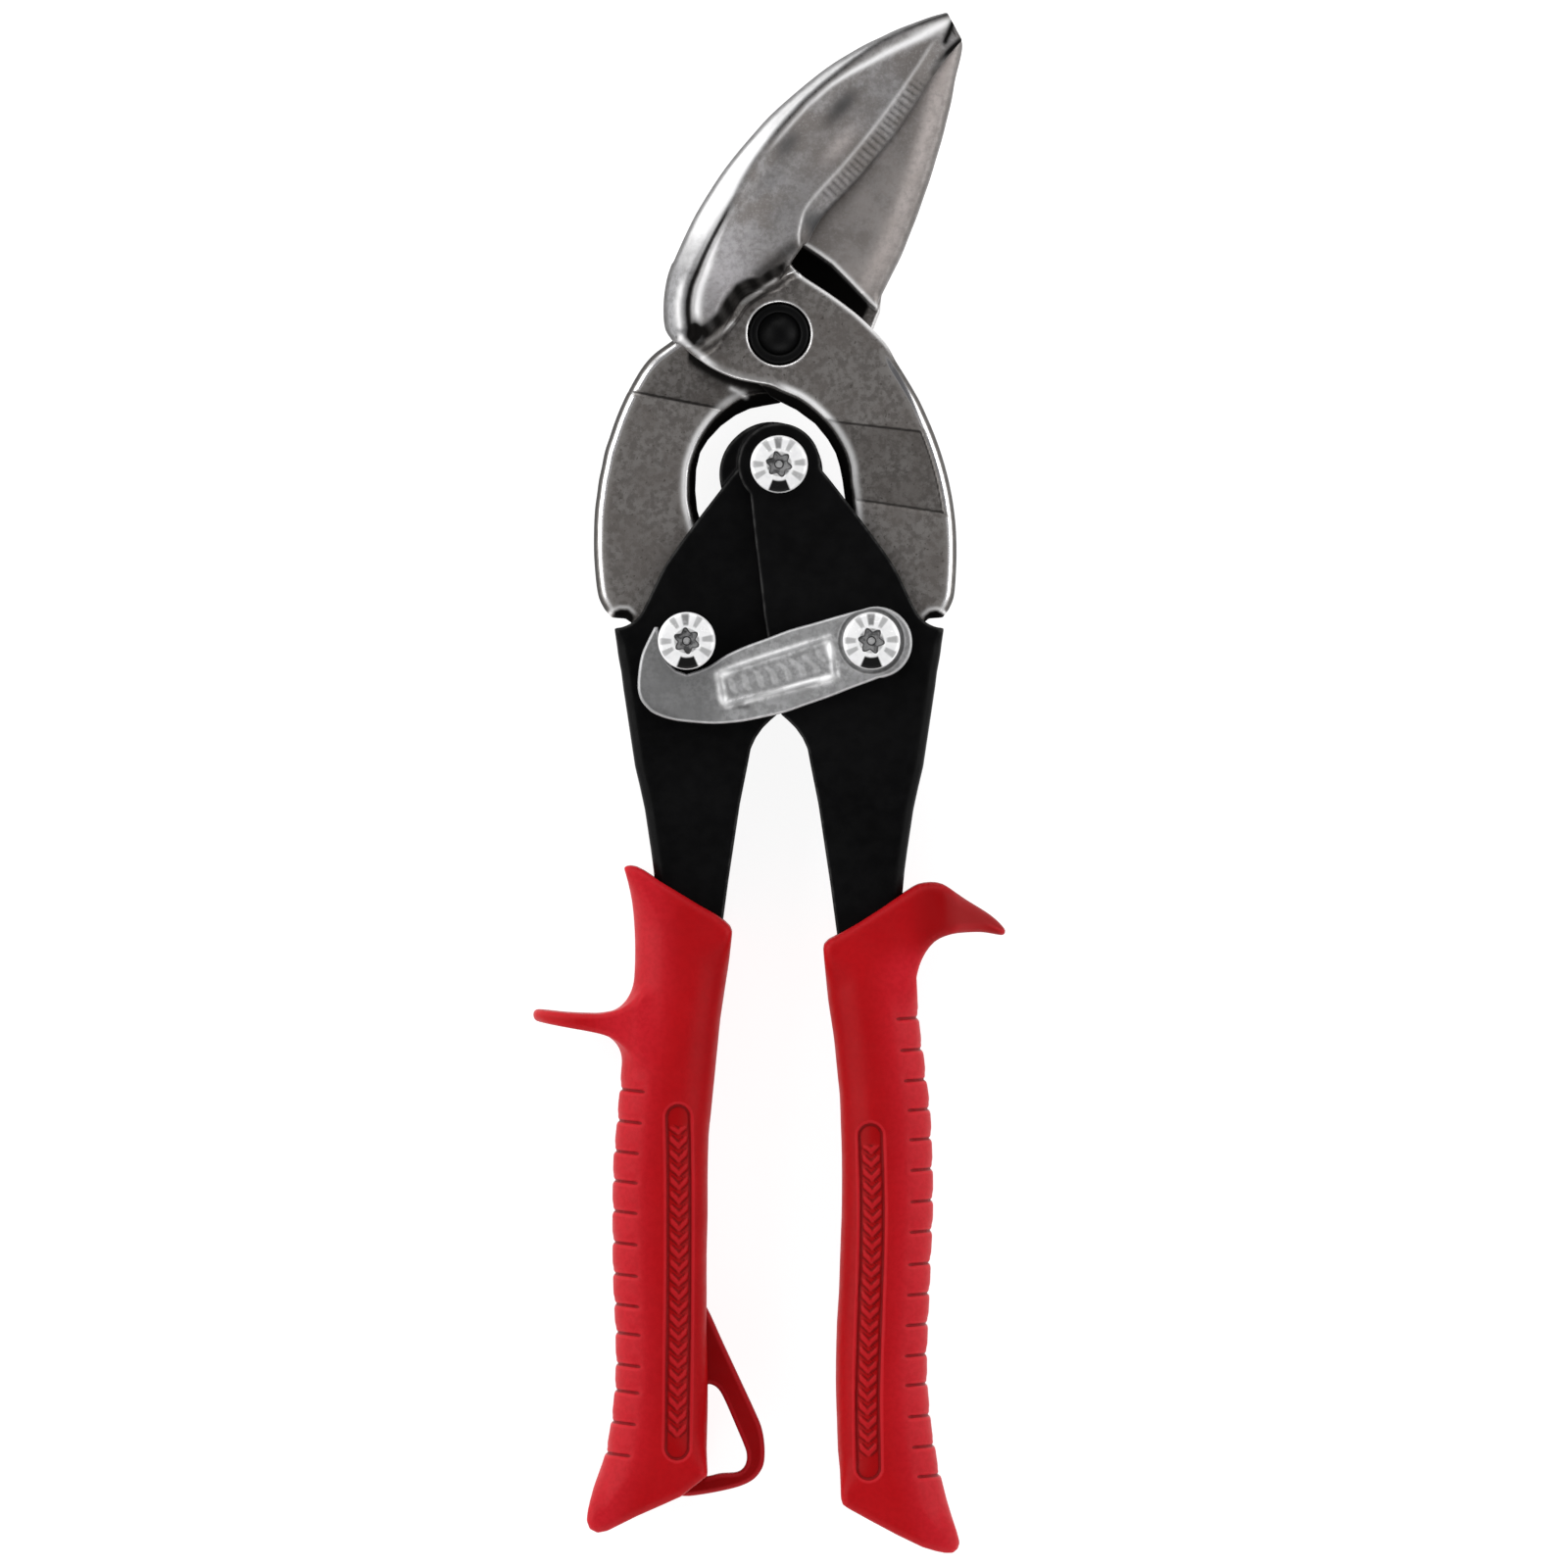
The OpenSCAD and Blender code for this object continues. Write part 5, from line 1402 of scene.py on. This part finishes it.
# name, body, centre, top, height, CAD piece
for name, body, centre, top, height, piece in (
        ("left_link_hex", "left_handle", REAR_PIVOT, -7.0, 3.4, "left_link_nut"),
        ("right_link_hex", "right_handle", FRONT_PIVOT, -5.0, 4.2, "right_link_nut"),
        ("handle_pivot_hex", "left_handle", HANDLE_PIVOT, -7.0, 3.4, "handle_pivot_nut")):
    place(hexagon(name, centre, 8.0, top - height, top, bore=2.52), body, "bright_zinc", ZINC,
          piece)

coil = spring()
coil.data.materials.append(WIRE)
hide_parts("torsion_spring")
BLEND_START, BLEND_END = (
    (HANDLE_PIVOT[0] * MM, HANDLE_PIVOT[1] * MM, (MEET_Z + z) * MM) for z in (-1.9, 1.9))
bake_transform(coil, "left_handle", "right_handle", start=BLEND_START, end=BLEND_END)

# blade pivot: hexagon head and washer underneath, round nut sunk in the front blade
pivot_head = hexagon("pb_h", BLADE_PIVOT, 12.0, -MEET_Z, -6.1)
pivot_shank = shank("pb_s", BLADE_PIVOT, 3.2, -6.5, 4.5, thread_top=-6.5)
place(join([pivot_head, pivot_shank], "pivot_bolt_black"), "rear_blade", "black_oxide", OXIDE,
      "pivot_bolt")
# name, centre, body, slot, material, CAD piece, profile of radius,height
for name, centre, body, slot, material, piece, profile in (
        ("pivot_washer_black", BLADE_PIVOT, "rear_blade", "black_oxide", OXIDE, "pivot_washer",
         "3.25,-6.05 7.2,-6.05 7.4,-5.85 7.4,-5.25 7.2,-5.05 3.25,-5.05"),
        ("pivot_nut_black", BLADE_PIVOT, "rear_blade", "black_oxide", OXIDE, "pivot_nut",
         "3.22,2.25 4.45,2.25 4.59,2.4 4.59,4.55 4.41,4.80 4.1,4.85 3.5,4.85 3.3,4.7 3.22,4.4"),
        ("spring_sleeve_zinc", HANDLE_PIVOT, "left_handle", "bright_zinc", ZINC, "spring_sleeve",
         "2.54,-3.0 4.0,-3.0 4.2,-2.8 4.2,2.8 4.0,3.0 2.54,3.0"),
        ("latch_catch_zinc", REAR_PIVOT, "left_handle", "bright_zinc", ZINC,
         "latch_catch_collar", "2.53,5.0 3.15,5.0 3.3,5.15 3.3,9.1 3.15,9.25 2.53,9.25"),
        ("latch_washer_zinc", FRONT_PIVOT, "right_handle", "bright_zinc", ZINC, "latch_washer",
         "2.53,6.97 4.6,6.97 4.6,7.17 2.53,7.17")):
    place(turned_ring(name, centre, points(profile)), body, slot, material, piece)


# ------------------------------------------------------------------ stage, light and camera
def floor():
    half, z = 3, -0.0003
    corners = [(-half, -half, z), (half, -half, z), (half, half, z), (-half, half, z)]
    ob = add_mesh("floor", corners, [(0, 1, 2, 3)], smooth=False)
    m = Material("floor", Roughness=0.9, Base_Color=(0.30, 0.30, 0.30), Specular_IOR_Level=0.0,
                 Emission_Color=(1, 1, 1), Emission_Strength=0.88)
    # clear from below, so that the underside can be looked at
    back = m.node("ShaderNodeNewGeometry", {}).outputs["Backfacing"]
    clear = m.node("ShaderNodeBsdfTransparent", {}).outputs[0]
    pick = m.node("ShaderNodeMixShader", {0: back, 1: m.shader.outputs[0], 2: clear})
    m.put(m.tree.nodes["Material Output"].inputs["Surface"], pick.outputs[0])
    ob.data.materials.append(m.material)


def lamps():
    """Four soft rectangles round the snips, all aimed at one point."""
    aim = Vector((0.0, -0.068, 0.01))
    # name, place, width and depth in metres, watts
    for name, at, width, depth, watts in (
            ("soft_left", (-0.75, 0.10, 0.42), 0.7, 0.9, 4.6),
            ("soft_right", (0.80, 0.05, 0.40), 0.6, 0.9, 3.2),
            ("soft_top", (-0.10, 0.85, 0.55), 0.9, 0.5, 3.6),
            ("soft_foot", (0.10, -0.95, 0.50), 0.9, 0.5, 2.6)):
        light = bpy.data.lights.new(name, "AREA")
        light.shape = "RECTANGLE"
        light.size, light.size_y = width, depth
        light.energy = watts
        ob = bpy.data.objects.new(name, light)
        ob.location = at
        ob.rotation_euler = (aim - Vector(at)).to_track_quat("-Z", "Y").to_euler()
        bpy.context.scene.collection.objects.link(ob)


def world():
    """Grey surround, brightest near the horizon and darker overhead."""
    studio = bpy.data.worlds.new("studio")
    bpy.context.scene.world = studio
    studio.use_nodes = True
    nodes, links = studio.node_tree.nodes, studio.node_tree.links
    coords = nodes.new("ShaderNodeTexCoord")
    split = nodes.new("ShaderNodeSeparateXYZ")
    ramp = nodes.new("ShaderNodeValToRGB")
    background = nodes["Background"]
    links.new(coords.outputs["Generated"], split.inputs[0])
    links.new(split.outputs["Z"], ramp.inputs[0])
    links.new(ramp.outputs[0], background.inputs[0])
    background.inputs["Strength"].default_value = 0.62
    stops = ramp.color_ramp.elements
    stops[0].color = (0.95, 0.95, 0.96, 1)
    stops[1].color = (0.16, 0.16, 0.17, 1)
    for height, colour in ((0.55, (1.0, 1.0, 1.0, 1)), (0.80, (0.62, 0.62, 0.63, 1)),
                           (0.93, (0.24, 0.24, 0.25, 1))):
        stops.new(height).color = colour


def camera():
    """Straight down from far off."""
    distance, view_width = 3.0, 0.240
    lens = bpy.data.cameras.new("camera")
    lens.sensor_width = 36.0
    lens.lens = 36.0 * distance / view_width
    lens.clip_end = 20
    ob = bpy.data.objects.new("camera", lens)
    ob.location = (0.00075, -0.06885, (MEET_Z + 2) * MM + distance)
    bpy.context.scene.collection.objects.link(ob)
    bpy.context.scene.camera = ob


floor()
lamps()
world()
camera()
bpy.context.scene.view_settings.view_transform = "Standard"
bpy.context.scene.view_settings.look = "None"
